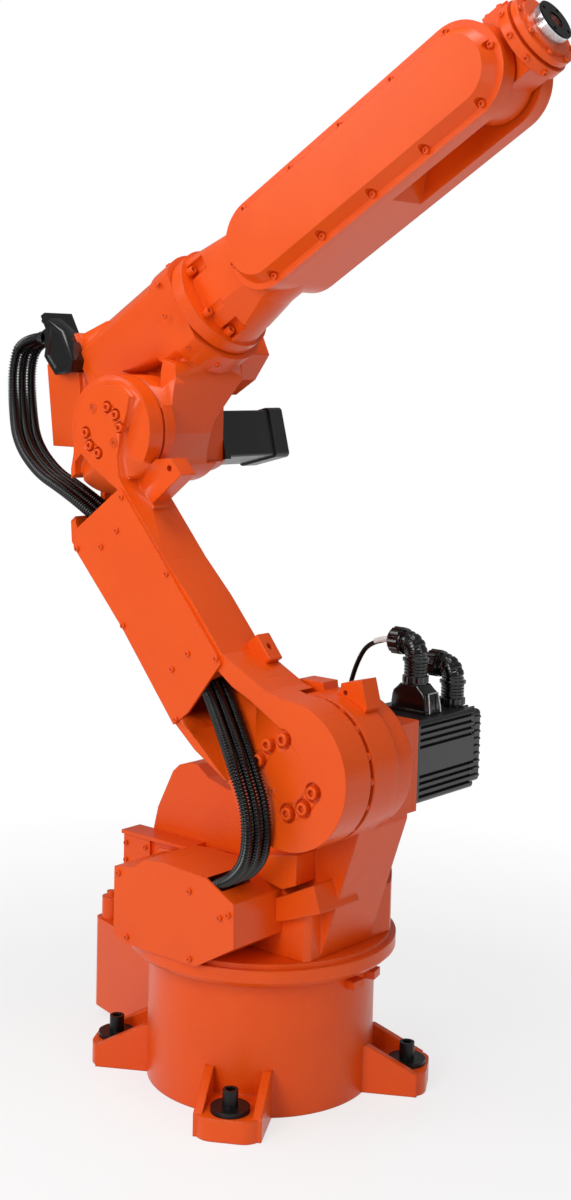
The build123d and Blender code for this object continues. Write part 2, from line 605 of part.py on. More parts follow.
def upper_arm_casting():
    """Cast arm with a hollow under its cover, two hose windows and two lifting lugs."""
    face = outline(ARM_SHARES, HUB_RADIUS, ARM_LENGTH)
    face += Circle(HUB_RADIUS)
    body = slab(face, ARM_NEAR, ARM_BEAM_FAR)
    body += drum(ELBOW_HUB_RADIUS, ELBOW_DISC_NEAR, ARM_BEAM_FAR, 0, ARM_LENGTH)
    for across, up in LUG_PLACE_SHARES:
        lug = outline(LUG_SHARES, HUB_RADIUS, ARM_LENGTH, across * HUB_RADIUS, up * ARM_LENGTH)
        body += slab(lug, LUG_NEAR, LUG_FAR)
        body -= drum(LUG_HOLE, LUG_NEAR - CUT, LUG_FAR + CUT, across * HUB_RADIUS, up * ARM_LENGTH)
    beyond = ARM_BEAM_FAR + CUT
    body -= drum(HUB_RADIUS + RUNNING_GAP, ARM_HUB_FAR, beyond)
    body -= drum(ELBOW_HUB_RADIUS + RUNNING_GAP, ELBOW_HUB_FAR, beyond, 0, ARM_LENGTH)
    floor = ARM_BEAM_FAR - ARM_WALL
    before = ARM_NEAR - CUT
    body -= slab(outline(HOLLOW_SHARES, HUB_RADIUS, ARM_LENGTH), before, floor)
    body -= slab(outline(LOWER_WINDOW_SHARES, HUB_RADIUS, ARM_LENGTH), before, floor) & lower_ramp()
    deep = slab(outline(UPPER_WINDOW_SHARES, HUB_RADIUS, ARM_LENGTH), before, floor)
    keep = drum(ELBOW_HUB_RADIUS + 2 * RUNNING_GAP, ARM_NEAR + ARM_WALL, 0, 0, ARM_LENGTH)
    body -= deep - keep
    body -= slab(outline(HOSE_NOTCH_SHARES, HUB_RADIUS, ARM_LENGTH), before, floor - ARM_WALL)
    for radius, angles, pocket, up in ((HUB_BOLT_RADIUS, HUB_BOLT_ANGLES, HUB_BOLT_POCKET, 0),
                                       (ELBOW_BOLT_RADIUS, ELBOW_BOLT_ANGLES, ELBOW_BOLT_POCKET, ARM_LENGTH)):
        for angle in angles:
            place = Pos(0, up) * Rot(0, 0, angle) * Pos(radius, 0) * Circle(pocket)
            body -= slab(place, before, ARM_NEAR + BOLT_POCKET_DEPTH)
    return body


def lower_ramp():
    """The sloping floor of the lower window, seen along X and drawn across."""
    start = HUB_RADIUS * RAMP_START_SHARE
    end = ARM_LENGTH * RAMP_END_SHARE
    floor = ARM_BEAM_FAR - ARM_WALL
    ramp = polygon([(ARM_NEAR - CUT, start), (ARM_NEAR, start), (floor, end), (ARM_NEAR - CUT, end)])
    return Pos(-ARM_LENGTH / 2, 0, 0) * extrude(Plane.YZ * ramp, ARM_LENGTH)


def upper_arm_cover():
    face = outline(COVER_SHARES, HUB_RADIUS, ARM_LENGTH)
    return slab(face, ARM_NEAR - COVER_THICKNESS, ARM_NEAR)


def elbow_housing():
    """Housing of the elbow and of the roll axis, with its rear box, front wall and pocket."""
    tube = rod(TUBE_RADIUS, TUBE_BACK, ROLL_GAP) + rod(TUBE_LIP, ROLL_GAP - TUBE_LIP_LENGTH, ROLL_GAP)
    body = Pos(0, 0, ROLL_OFFSET) * tube
    size = ELBOW_HUB_RADIUS
    body += slab(outline(REAR_BOX_SHARES, size, size), REAR_BOX_NEAR, HOUSING_FAR)
    body += slab(outline(WEB_SHARES, size, size), HOUSING_NEAR, HOUSING_FAR)
    body -= slab(outline(POCKET_SHARES, size, size), FRONT_WALL_NEAR - CUT, POCKET_FAR)
    body += slab(outline(FRONT_WALL_SHARES, size, size), FRONT_WALL_NEAR, HOUSING_FAR)
    lower = extrude(Plane.YZ * outline(WALL_CUT_SHARES, size, size), ROLL_GAP)
    body -= Rot(0, FOREARM_RISE, 0) * Pos(WALL_CUT_START, 0, 0) * lower
    body += drum(size, ELBOW_HUB_NEAR, ELBOW_DRUM_FAR)
    body += drum(ELBOW_BEARING, ELBOW_HUB_FAR + BEARING_GAP, HOUSING_FAR)
    keep = ELBOW_HUB_NEAR - CUT
    swept = slab(Rectangle(4 * WRIST_REACH, 4 * WRIST_REACH), keep, REAR_BOX_NEAR)
    swept -= slab(outline(FRONT_WALL_SHARES, size, size), keep, REAR_BOX_NEAR)
    swept -= drum(size, keep, REAR_BOX_NEAR)
    return body - swept


def elbow_far_box():
    size = ELBOW_HUB_RADIUS
    return slab(outline(FAR_BOX_SHARES, size, size), 0, FAR_BOX_FAR) - elbow_housing()


MOTOR_SEAT = Pos(0, 0, -ELBOW_MOTOR_DROP) * Rot(0, -ELBOW_MOTOR_TURN, 0)
ELBOW_MOTOR_START = HOUSING_FAR + ELBOW_MOTOR_FLANGE
ELBOW_MOTOR_END = ELBOW_MOTOR_START + ELBOW_MOTOR_BODY


def elbow_motor():
    """Square motor, a little turned and set a little below the elbow's axis."""
    flange = block(ELBOW_MOTOR_SIDE, ELBOW_MOTOR_SIDE, HOUSING_FAR, ELBOW_MOTOR_START)
    side = ELBOW_MOTOR_SIDE - 2 * ELBOW_MOTOR_STEP
    face = RectangleRounded(side, side, ELBOW_MOTOR_STEP)
    return MOTOR_SEAT * (flange + slab(face, ELBOW_MOTOR_START, ELBOW_MOTOR_END))


def elbow_motor_cap():
    square = RectangleRounded(ELBOW_MOTOR_SIDE, ELBOW_MOTOR_SIDE, 2 * ELBOW_MOTOR_STEP)
    return MOTOR_SEAT * slab(square, ELBOW_MOTOR_END, ELBOW_MOTOR_END + ELBOW_MOTOR_CAP)


NECK_START = ROLL_GAP + RUNNING_GAP / 2


def forearm_casting():
    """Forearm with a round neck, flat sides for the covers and a fork for the wrist."""
    plate_end = NECK_START + NECK_PLATE
    neck = turned([
        (plate_end, 0), (plate_end, NECK_RADIUS - NECK_EDGE), (NECK_TAPER_END, COVER_RADIUS),
        (COVER_START, COVER_RADIUS), (COVER_START, 0)])
    neck &= Box(2 * COVER_START, 2 * FOREARM_HALF, 2 * NECK_RADIUS)
    for angle in (-NECK_FACET_ANGLE, 180 + NECK_FACET_ANGLE):
        beyond = Pos(0, NECK_FACET + NECK_RADIUS / 2, 0) * Box(2 * COVER_START, NECK_RADIUS, 2 * NECK_RADIUS)
        neck -= Rot(angle, 0, 0) * beyond
    for angle in NECK_BOLT_ANGLES:
        pocket = Pos(0, 0, NECK_BOLT_RADIUS) * rod(NECK_POCKET, plate_end, plate_end + NECK_POCKET_LENGTH)
        neck -= Rot(angle, 0, 0) * pocket
        neck -= Rot(-angle, 0, 0) * pocket
    body = neck + rod(NECK_RADIUS, NECK_START, plate_end)
    body += rod(ROLL_BEARING, ROLL_GAP + BEARING_GAP, NECK_START)
    body += slab(stadium(COVER_START, WRIST_REACH, COVER_RADIUS), -FOREARM_HALF, FOREARM_HALF)
    start = WRIST_REACH - FORK_DEPTH
    low = start - FORK_SLANT
    high = 2 * COVER_RADIUS
    end = WRIST_REACH + high
    window = polygon([(start, high), (start, 0), (low, -COVER_RADIUS), (low, -high),
                      (end, -high), (end, high)])
    return body - slab(window, FORK_WALL - FOREARM_HALF, FOREARM_HALF - FORK_WALL)


def forearm_cover(side):
    """Raised cover of one side, with a pocket at each of its bolts."""
    flat_end = -FOREARM_HALF - COVER_FLANGE
    cover = slab(stadium(COVER_START, WRIST_REACH, COVER_RADIUS), flat_end, -FOREARM_HALF)
    face = Plane.XZ.offset(-flat_end) * stadium(COVER_START, WRIST_REACH, COVER_INNER)
    cover += extrude(face, COVER_RISE, taper=COVER_DRAFT)
    places = [(WRIST_REACH + COVER_BOLT_ROW, 0), (COVER_START - COVER_BOLT_ROW, 0)]
    for number in range(COVER_BOLT_SPOTS):
        for up in (-COVER_BOLT_ROW, COVER_BOLT_ROW):
            places.append((COVER_START + number * COVER_BOLT_PITCH, up))
    for forward, up in places:
        cover -= drum(COVER_BOLT_POCKET, flat_end - 2 * COVER_RISE, flat_end, forward, up)
    return cover if side < 0 else mirror(cover, Plane.XZ)


def wrist_housing():
    """Wrist between the fork's walls, with the round back part of its ring."""
    body = drum(WRIST_HUB_RADIUS, -WRIST_HALF, WRIST_HALF)
    bearing = FOREARM_HALF - FORK_WALL - BEARING_GAP
    body += drum(WRIST_BEARING, -bearing, bearing)
    middle = WRIST_RING_BACK / 2
    body += block(WRIST_RING_BACK, 2 * WRIST_NECK_HALF, -WRIST_HALF, WRIST_HALF, middle)
    body += rod(WRIST_RING_RADIUS, WRIST_RING_BACK, WRIST_RING_GAP)
    gap_end = WRIST_RING_GAP + WRIST_GAP_WIDTH
    body += rod(WRIST_GAP_RADIUS, WRIST_RING_GAP, gap_end)
    return body


def wrist_ring():
    """Front ring and nose of the wrist."""
    gap_end = WRIST_RING_GAP + WRIST_GAP_WIDTH
    return rod(WRIST_FRONT_RADIUS, gap_end, WRIST_RING_FRONT) + rod(
        WRIST_NOSE_RADIUS, WRIST_RING_FRONT, WRIST_NOSE_FRONT)


def wrist_cover():
    """Small cover on top of the wrist."""
    top = WRIST_NECK_HALF + WRIST_COVER_RISE
    start = WRIST_RING_BACK - WRIST_COVER_LENGTH
    middle = start + WRIST_COVER_LENGTH / 2
    cover = block(WRIST_COVER_LENGTH, top, -WRIST_COVER_WIDTH / 2, WRIST_COVER_WIDTH / 2, middle, top / 2)
    return cover - wrist_housing()


def tool_flange():
    start = WRIST_NOSE_FRONT - FLANGE_REACH + BEARING_GAP
    body = rod(FLANGE_NECK, start, 0) + rod(FLANGE_RADIUS, start + FLANGE_LIP, 0)
    body -= rod(FLANGE_BORE, start - CUT, CUT)
    for angle in FOOT_ANGLES:
        body -= Rot(angle, 0, 0) * Pos(0, 0, FLANGE_CIRCLE / 2) * rod(FLANGE_HOLE / 2, start - CUT, CUT)
    return body


def hose_connector():
    """Plate and hood on the corner of the elbow's rear box, where the upper hose starts."""
    x, y, z = UPPER_ROUTE[0]
    hood = Pos(HOSE_HOOD_DEPTH / 2, y, 0) * Box(
        HOSE_HOOD_DEPTH, HOSE_PLATE_FAR - HOSE_PLATE_NEAR - 2 * HOSE_HOOD_INSET, HOSE_HOOD_LENGTH)
    middle = (HOSE_PLATE_NEAR + HOSE_PLATE_FAR) / 2
    plate = Pos(HOSE_HOOD_DEPTH + HOSE_PLATE_THICKNESS / 2, middle, 0) * Box(
        HOSE_PLATE_THICKNESS, HOSE_PLATE_FAR - HOSE_PLATE_NEAR, HOSE_PLATE_LENGTH)
    piece = Pos(x, 0, z) * Rot(0, HOSE_PLATE_TILT, 0) * Pos(0, 0, -HOSE_HOOD_DROP) * (hood + plate)
    for side in (-1, 0, 1):
        piece -= Pos(x, y + side * CONDUIT_PITCH, z) * Sphere(CONDUIT_DIAMETER / 2 + BEARING_GAP)
        piece -= Pos(x, y + side * CONDUIT_PITCH, z) * rod(CONDUIT_DIAMETER, -HOSE_HOOD_LENGTH, 0)
    return TURRET * piece - ELBOW * elbow_housing()


def hose(route, side, name):
    moved = [(x, y + side * CONDUIT_PITCH, z) for x, y, z in route]
    return cord(moved, CONDUIT_DIAMETER, name)


PARTS = {
    "base_casting": (None, base_casting),
    "base_stop_blocks": (None, base_stop_blocks),
    "anchor_bolts": (None, anchor_bolts),
    "base_connector_box": (None, base_connector_box),
    "base_cable_gland": (None, base_cable_gland),
    "turntable_ring": (TURRET, turntable_ring),
    "turret_casting": (TURRET, turret_casting),
    "shoulder_stop_bracket": (TURRET, shoulder_stop_bracket),
    "rear_hump": (TURRET, rear_hump),
    "rear_terminal_box": (TURRET, rear_terminal_box),
    "junction_box": (TURRET, junction_box),
    "junction_box_cover": (TURRET, junction_box_cover),
    "shoulder_motor_plate": (TURRET, shoulder_motor_plate),
    "shoulder_motor": (TURRET, shoulder_motor),
    "shoulder_motor_cap": (TURRET, shoulder_motor_cap),
    "motor_hood_connector": (TURRET, motor_hood_connector),
    "motor_round_connector": (TURRET, motor_round_connector),
    "motor_cable_gland": (TURRET, cable_gland),
    "motor_cable": (TURRET, lambda: cord(CABLE_ROUTE, CABLE_DIAMETER, "motor_cable")),
    "upper_arm_casting": (ARM, upper_arm_casting),
    "upper_arm_cover": (ARM, upper_arm_cover),
    "elbow_housing": (ELBOW, elbow_housing),
    "elbow_far_box": (ELBOW, elbow_far_box),
    "elbow_motor": (ELBOW_UPRIGHT, elbow_motor),
    "elbow_motor_cap": (ELBOW_UPRIGHT, elbow_motor_cap),
    "hose_connector": (None, hose_connector),
    "forearm_casting": (FOREARM, forearm_casting),
    "forearm_near_cover": (FOREARM, lambda: forearm_cover(-1)),
    "forearm_far_cover": (FOREARM, lambda: forearm_cover(1)),
    "wrist_housing": (WRIST, wrist_housing),
    "wrist_ring": (WRIST, wrist_ring),
    "wrist_cover": (WRIST, wrist_cover),
    "tool_flange": (FLANGE, tool_flange),
    "lower_hose_near": (TURRET, lambda: hose(LOWER_ROUTE, -1, "lower_hose_near")),
    "lower_hose_middle": (TURRET, lambda: hose(LOWER_ROUTE, 0, "lower_hose_middle")),
    "lower_hose_far": (TURRET, lambda: hose(LOWER_ROUTE, 1, "lower_hose_far")),
    "upper_hose_near": (TURRET, lambda: hose(UPPER_ROUTE, -1, "upper_hose_near")),
    "upper_hose_middle": (TURRET, lambda: hose(UPPER_ROUTE, 0, "upper_hose_middle")),
    "upper_hose_far": (TURRET, lambda: hose(UPPER_ROUTE, 1, "upper_hose_far")),
}

os.makedirs("parts", exist_ok=True)
for name, (frame, make) in PARTS.items():
    piece = make()
    if frame is not None:
        piece = frame * piece
    export_step(piece, f"parts/{name}.step")
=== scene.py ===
# %% [markdown]
# # Industrial robot arm: looks
# The solids of the robot come in as a fixed frame, in metres. This file adds what makes them look
# real: paint, screws, ridged hoses, connectors and a studio. The camera comes first, because every
# other piece is judged through it.

# %% Load the frame
import json
from math import cos, pi, radians, sin

import bmesh
import bpy
from mathutils import Matrix, Vector

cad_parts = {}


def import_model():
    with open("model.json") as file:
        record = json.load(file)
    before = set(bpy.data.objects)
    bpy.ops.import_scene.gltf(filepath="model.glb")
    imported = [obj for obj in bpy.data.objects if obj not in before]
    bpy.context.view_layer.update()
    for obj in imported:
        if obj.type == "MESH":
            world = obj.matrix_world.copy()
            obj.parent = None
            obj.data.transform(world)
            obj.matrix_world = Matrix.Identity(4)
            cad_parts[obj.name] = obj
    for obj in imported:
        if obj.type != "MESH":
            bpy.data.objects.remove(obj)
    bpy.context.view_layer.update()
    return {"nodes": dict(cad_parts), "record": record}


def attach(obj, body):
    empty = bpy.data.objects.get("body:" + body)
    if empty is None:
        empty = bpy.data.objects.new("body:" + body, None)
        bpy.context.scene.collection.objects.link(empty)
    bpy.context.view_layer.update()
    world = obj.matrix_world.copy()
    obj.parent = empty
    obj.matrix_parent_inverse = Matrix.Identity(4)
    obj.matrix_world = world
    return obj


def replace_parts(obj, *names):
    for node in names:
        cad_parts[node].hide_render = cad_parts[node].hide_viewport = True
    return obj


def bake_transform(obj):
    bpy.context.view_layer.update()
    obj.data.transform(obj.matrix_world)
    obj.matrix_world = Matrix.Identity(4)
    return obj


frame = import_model()
nodes = frame["nodes"]
MM = 0.001

# %% [markdown]
# ## The links' own frames
# A screw or a connector is easiest to place in the frame of the link that carries it, the way it
# stands on that link's drawing. Each frame is a matrix in millimetres, built on the one before, as
# the joints of the real arm are.
#
# X points ahead along the robot, Y to its far side and Z up. A positive tip about Y leans a link
# forward. UPRIGHT stands at the elbow with its Z straight up, for the pieces that hang plumb.

# %% Frames of the links
def moved(x, y, z):
    return Matrix.Translation((x, y, z))


def tipped(angle):
    return Matrix.Rotation(radians(angle), 4, "Y")


TURRET_TURN = 15
SHOULDER_AHEAD = 185
SHOULDER_HEIGHT = 550
ARM_LENGTH = 625
ARM_LEANS_BACK = 38.7
FOREARM_RISES = 32.3
ROLL_OFFSET = 130
WRIST_REACH = 770
FLANGE_REACH = 133
TURRET = Matrix.Rotation(radians(TURRET_TURN), 4, "Z")
ARM = TURRET @ moved(SHOULDER_AHEAD, 0, SHOULDER_HEIGHT) @ tipped(-ARM_LEANS_BACK)
ELBOW = ARM @ moved(0, 0, ARM_LENGTH) @ tipped(ARM_LEANS_BACK - FOREARM_RISES)
UPRIGHT = ELBOW @ tipped(FOREARM_RISES)
FOREARM = ELBOW @ moved(0, 0, ROLL_OFFSET)
WRIST = FOREARM @ moved(WRIST_REACH, 0, 0)
FLANGE = WRIST @ moved(FLANGE_REACH, 0, 0)


def world(link, place):
    """A place on a link, in millimetres, as a place in the scene, in metres."""
    return (link @ Vector(place)) * MM


print("flange at", [round(v, 3) for v in world(FLANGE, (0, 0, 0))])

# %% [markdown]
# ## Camera
# The photograph looks at the robot from its right front, a little from above. Its place and lens
# were worked out from the square of the anchor bolts, the upright drum and the straight edges of
# the arm. The picture was cropped off centre, which a small lens shift repeats.

# %% Camera
IMAGE_WIDTH, IMAGE_HEIGHT = 571, 1200
FOCAL_PIXELS = 1725.3
CENTRE_PIXELS = (272.1, 504.0)
SENSOR_WIDTH = 36
lens = bpy.data.cameras.new("camera")
lens.sensor_fit = "AUTO"
lens.sensor_width = SENSOR_WIDTH
lens.lens = FOCAL_PIXELS / IMAGE_HEIGHT * SENSOR_WIDTH
lens.shift_x = (IMAGE_WIDTH / 2 - CENTRE_PIXELS[0]) / IMAGE_HEIGHT
lens.shift_y = (CENTRE_PIXELS[1] - IMAGE_HEIGHT / 2) / IMAGE_HEIGHT
camera = bpy.data.objects.new("camera", lens)
camera.location = (2.2357, -1.5648, 1.1649)
camera.rotation_euler = [radians(angle) for angle in (85.01, -1.33, 55.13)]
bpy.context.scene.collection.objects.link(camera)
bpy.context.scene.camera = camera
print("lens", round(lens.lens, 2), "mm")

# %% [markdown]
# ## Pieces from lists of points
# Most small pieces are made of rings of points, joined ring to ring. That is how a turned part
# comes off a lathe, and it keeps every mesh light. One helper makes an object of points and faces,
# with its material and the body that carries it.

# %% Helpers for meshes
def piece(name, points, faces, material, body, sharp=30):
    """An object of points and faces. Edges sharper than so many degrees stay sharp."""
    mesh = bpy.data.meshes.new(name)
    mesh.from_pydata([tuple(p) for p in points], [], faces)
    mesh.materials.append(material)
    mesh.shade_smooth()
    mesh.set_sharp_from_angle(angle=radians(sharp))
    made = bpy.data.objects.new(name, mesh)
    bpy.context.scene.collection.objects.link(made)
    if body is not None:
        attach(made, body)
    return made


def flat(rings):
    """All the points of some rings, in one list."""
    return [p for ring in rings for p in ring]


def joined(rings, first=0):
    """Faces between rings of equal numbers of points, numbered from first, closed at both ends."""
    count = len(rings[0])
    faces = []
    for low in range(len(rings) - 1):
        for side in range(count):
            after = (side + 1) % count
            a, b = first + low * count, first + (low + 1) * count
            faces.append((a + side, a + after, b + after, b + side))
    last = first + (len(rings) - 1) * count
    faces.append(tuple(first + side for side in reversed(range(count))))
    faces.append(tuple(last + side for side in range(count)))
    return faces


def hexagon_radius(across_flats, angle):
    """How far a hexagon reaches in a direction."""
    sixth = (angle + pi / 6) % (pi / 3) - pi / 6
    return across_flats / 2 / cos(sixth)


def aimed(link, place, aim):
    """The matrix that stands a piece's own Z along a direction of a link."""
    turn = Vector(aim).normalized().to_track_quat("Z", "Y").to_matrix().to_4x4()
    return link @ Matrix.Translation(place) @ turn


# %% [markdown]
# ## Materials: the small helpers
# Colours are written as they look on a screen and turned to linear light once. A material is a
# short list of nodes, so one helper adds a node with its settings and links.

# %% Helpers for materials
def linear(code):
    """A colour of six hex digits as linear red, green, blue and alpha."""
    parts = [int(code[i:i + 2], 16) / 255 for i in (1, 3, 5)]
    light = [p / 12.92 if p <= 0.04045 else ((p + 0.055) / 1.055) ** 2.4 for p in parts]
    return (*light, 1.0)


def add(tree, kind, inputs=None, **settings):
    """Adds a node. An input is a value, or another node's output that it is linked to."""
    node = tree.nodes.new(kind)
    for key, value in settings.items():
        setattr(node, key, value)
    for key, value in (inputs or {}).items():
        if isinstance(value, bpy.types.NodeSocket):
            tree.links.new(value, node.inputs[key])
        else:
            node.inputs[key].default_value = value
    return node


def started(name):
    """A new material with its output, and a place in metres to hang patterns on."""
    material = bpy.data.materials.new(name)
    material.use_nodes = True
    tree = material.node_tree
    tree.nodes.clear()
    output = add(tree, "ShaderNodeOutputMaterial")
    place = add(tree, "ShaderNodeTexCoord").outputs["Object"]
    return material, tree, output, place


# %% [markdown]
# ## Orange enamel on cast iron
# The castings and covers are sprayed with a two-pack polyurethane enamel and left glossy. Wet
# spray dries with a fine orange peel, waves of about 4 mm that break up the highlights. The
# castings' own skin is coarser, so a wider wave of about 30 mm lies under it. On the sand castings
# of the base and the turret, grains of sand show through as small glints. The sheet covers are
# nearly flat, so little but the orange peel shows on them. The bevel node rounds the sharp edges
# of the solids, as casting and folding do.

# %% Orange enamel
def orange_enamel(name, cast_strength, grain_strength, edge):
    material, tree, output, place = started(name)
    wide = add(tree, "ShaderNodeTexNoise", {"Vector": place, "Scale": 12.0, "Detail": 3.0})
    tint = add(tree, "ShaderNodeMix", {
        "Factor": wide.outputs["Fac"], "A": linear("#DE4A08"), "B": linear("#E8560B")},
        data_type="RGBA")
    peel = add(tree, "ShaderNodeTexNoise", {"Vector": place, "Scale": 260.0, "Detail": 2.0})
    cast = add(tree, "ShaderNodeTexNoise", {"Vector": place, "Scale": 34.0, "Detail": 2.0})
    sand = add(tree, "ShaderNodeTexVoronoi", {"Vector": place, "Scale": 420.0, "Randomness": 1.0})
    round_edge = add(tree, "ShaderNodeBevel", {"Radius": edge}, samples=6)
    skin = add(tree, "ShaderNodeBump", {
        "Height": cast.outputs["Fac"], "Strength": cast_strength, "Distance": 0.004,
        "Normal": round_edge.outputs["Normal"]})
    grains = add(tree, "ShaderNodeBump", {
        "Height": sand.outputs["Distance"], "Strength": grain_strength, "Distance": 0.0008,
        "Normal": skin.outputs["Normal"]}, invert=True)
    spray = add(tree, "ShaderNodeBump", {
        "Height": peel.outputs["Fac"], "Strength": 0.05, "Distance": 0.0006,
        "Normal": grains.outputs["Normal"]})
    rough = add(tree, "ShaderNodeMapRange", {
        "Value": wide.outputs["Fac"], "To Min": 0.26, "To Max": 0.38})
    shader = add(tree, "ShaderNodeBsdfPrincipled", {
        "Base Color": tint.outputs["Result"], "Roughness": rough.outputs["Result"],
        "IOR": 1.46, "Specular IOR Level": 0.36, "Normal": spray.outputs["Normal"]})
    tree.links.new(shader.outputs["BSDF"], output.inputs["Surface"])
    return material


ORANGE = orange_enamel("orange_enamel_on_machined_casting", 0.10, 0.0, 0.0026)
ORANGE_ROUGH = orange_enamel("orange_enamel_on_sand_casting", 0.16, 0.35, 0.0045)
ORANGE_SHEET = orange_enamel("orange_enamel_on_sheet_steel", 0.02, 0.0, 0.0012)

# %% [markdown]
# ## Black and grey finishes
# The motors have extruded aluminium frames in a thin black stoving enamel, satin. Their
# connectors and the hoses are moulded polyamide, much glossier. The anchor bolts are steel blacked
# in hot oil.

# %% Motor enamel
def motor_enamel():
    material, tree, output, place = started("black_stoving_enamel_on_aluminium")
    grain = add(tree, "ShaderNodeTexNoise", {"Vector": place, "Scale": 900.0, "Detail": 1.0})
    blotch = add(tree, "ShaderNodeTexNoise", {"Vector": place, "Scale": 25.0, "Detail": 3.0})
    tint = add(tree, "ShaderNodeMix", {
        "Factor": blotch.outputs["Fac"], "A": linear("#0D0D0F"), "B": linear("#1B1B1E")},
        data_type="RGBA")
    rough = add(tree, "ShaderNodeMapRange", {
        "Value": blotch.outputs["Fac"], "To Min": 0.26, "To Max": 0.42})
    round_edge = add(tree, "ShaderNodeBevel", {"Radius": 0.0012}, samples=6)
    bump = add(tree, "ShaderNodeBump", {
        "Height": grain.outputs["Fac"], "Strength": 0.08, "Distance": 0.0003,
        "Normal": round_edge.outputs["Normal"]})
    shader = add(tree, "ShaderNodeBsdfPrincipled", {
        "Base Color": tint.outputs["Result"], "Roughness": rough.outputs["Result"],
        "IOR": 1.55, "Normal": bump.outputs["Normal"]})
    tree.links.new(shader.outputs["BSDF"], output.inputs["Surface"])
    return material


MOTOR_BLACK = motor_enamel()


# %% Moulded polyamide
def moulded_polyamide(name, dark, light, low, high, edge):
    """Glass-filled polyamide: a flow pattern of about 8 mm and finer shows in the gloss."""
    material, tree, output, place = started(name)
    flow = add(tree, "ShaderNodeTexNoise", {"Vector": place, "Scale": 120.0, "Detail": 3.0})
    tint = add(tree, "ShaderNodeMix", {
        "Factor": flow.outputs["Fac"], "A": linear(dark), "B": linear(light)}, data_type="RGBA")
    rough = add(tree, "ShaderNodeMapRange", {
        "Value": flow.outputs["Fac"], "To Min": low, "To Max": high})
    round_edge = add(tree, "ShaderNodeBevel", {"Radius": edge}, samples=4)
    bump = add(tree, "ShaderNodeBump", {
        "Height": flow.outputs["Fac"], "Strength": 0.06, "Distance": 0.0005,
        "Normal": round_edge.outputs["Normal"]})
    shader = add(tree, "ShaderNodeBsdfPrincipled", {
        "Base Color": tint.outputs["Result"], "Roughness": rough.outputs["Result"],
        "IOR": 1.53, "Normal": bump.outputs["Normal"]})
    tree.links.new(shader.outputs["BSDF"], output.inputs["Surface"])
    return material


BLACK_NYLON = moulded_polyamide("black_moulded_polyamide", "#040405", "#0B0B0C", 0.10, 0.22, 0.0010)
HOSE_BLACK = moulded_polyamide("black_corrugated_polyamide", "#010101", "#030303", 0.16, 0.26, 0.0001)
WHITE_SLEEVE = moulded_polyamide("white_shrink_sleeve", "#D8D8D6", "#E6E6E3", 0.35, 0.5, 0.0004)


# %% Steel
def steel(name, dark, light, low, high, metallic, grain_scale):
    """Steel with marks of 2 to 3 mm and finer, which is large enough to show."""
    material, tree, output, place = started(name)
    marks = add(tree, "ShaderNodeTexNoise", {"Vector": place, "Scale": grain_scale, "Detail": 4.0})
    tint = add(tree, "ShaderNodeMix", {
        "Factor": marks.outputs["Fac"], "A": linear(dark), "B": linear(light)}, data_type="RGBA")
    rough = add(tree, "ShaderNodeMapRange", {
        "Value": marks.outputs["Fac"], "To Min": low, "To Max": high})
    round_edge = add(tree, "ShaderNodeBevel", {"Radius": 0.0008}, samples=4)
    bump = add(tree, "ShaderNodeBump", {
        "Height": marks.outputs["Fac"], "Strength": 0.08, "Distance": 0.0003,
        "Normal": round_edge.outputs["Normal"]})
    shader = add(tree, "ShaderNodeBsdfPrincipled", {
        "Base Color": tint.outputs["Result"], "Roughness": rough.outputs["Result"],
        "Metallic": metallic, "Normal": bump.outputs["Normal"]})
    tree.links.new(shader.outputs["BSDF"], output.inputs["Surface"])
    return material


BLACKED_STEEL = steel("oil_blacked_steel", "#0C0C0D", "#18181A", 0.30, 0.48, 0.4, 300.0)
CLIP_STEEL = steel("pressed_stainless_steel", "#A8A9AB", "#C4C5C7", 0.22, 0.36, 1.0, 500.0)

# %% [markdown]
# ## Tool flange
# The flange is turned from steel and left bright, with the tool's fine rings at about 1 mm. Its
# front face is painted near black, as painted shade. A plane across the flange's axis divides the
# bright steel from the painted shade.

# %% Turned steel with painted shade on its face
def flange_steel():
    material, tree, output, place = started("turned_steel_with_painted_shade_face")
    axis = (world(FLANGE, (1, 0, 0)) - world(FLANGE, (0, 0, 0))).normalized()
    face = world(FLANGE, (0, 0, 0)).dot(axis)
    reach = add(tree, "ShaderNodeVectorMath", {0: place, 1: tuple(axis)}, operation="DOT_PRODUCT")
    # Mask of the front face, from about 2 mm behind it forward: here the painted shade goes.
    front = add(tree, "ShaderNodeMapRange", {
        "Value": reach.outputs["Value"], "From Min": face - 0.0025, "From Max": face - 0.0020})
    marks = add(tree, "ShaderNodeTexNoise", {"Vector": place, "Scale": 400.0, "Detail": 3.0})
    rings = add(tree, "ShaderNodeMath", {0: reach.outputs["Value"], 1: 6000.0}, operation="MULTIPLY")
    wave = add(tree, "ShaderNodeMath", {0: rings.outputs["Value"]}, operation="SINE")
    bright = add(tree, "ShaderNodeMix", {
        "Factor": marks.outputs["Fac"], "A": linear("#B4B5B8"), "B": linear("#E2E3E5")},
        data_type="RGBA")
    # Painted shade: the front face turns near black in place of the bright steel.
    tint = add(tree, "ShaderNodeMix", {
        "Factor": front.outputs["Result"], "A": bright.outputs["Result"], "B": linear("#101011")},
        data_type="RGBA")
    rough = add(tree, "ShaderNodeMapRange", {
        "Value": front.outputs["Result"], "To Min": 0.16, "To Max": 0.34})
    bump = add(tree, "ShaderNodeBump", {
        "Height": wave.outputs["Value"], "Strength": 0.15, "Distance": 0.0002})
    shader = add(tree, "ShaderNodeBsdfPrincipled", {
        "Base Color": tint.outputs["Result"], "Roughness": rough.outputs["Result"],
        "Metallic": 1.0, "Normal": bump.outputs["Normal"]})
    tree.links.new(shader.outputs["BSDF"], output.inputs["Surface"])
    return material


FLANGE_STEEL = flange_steel()

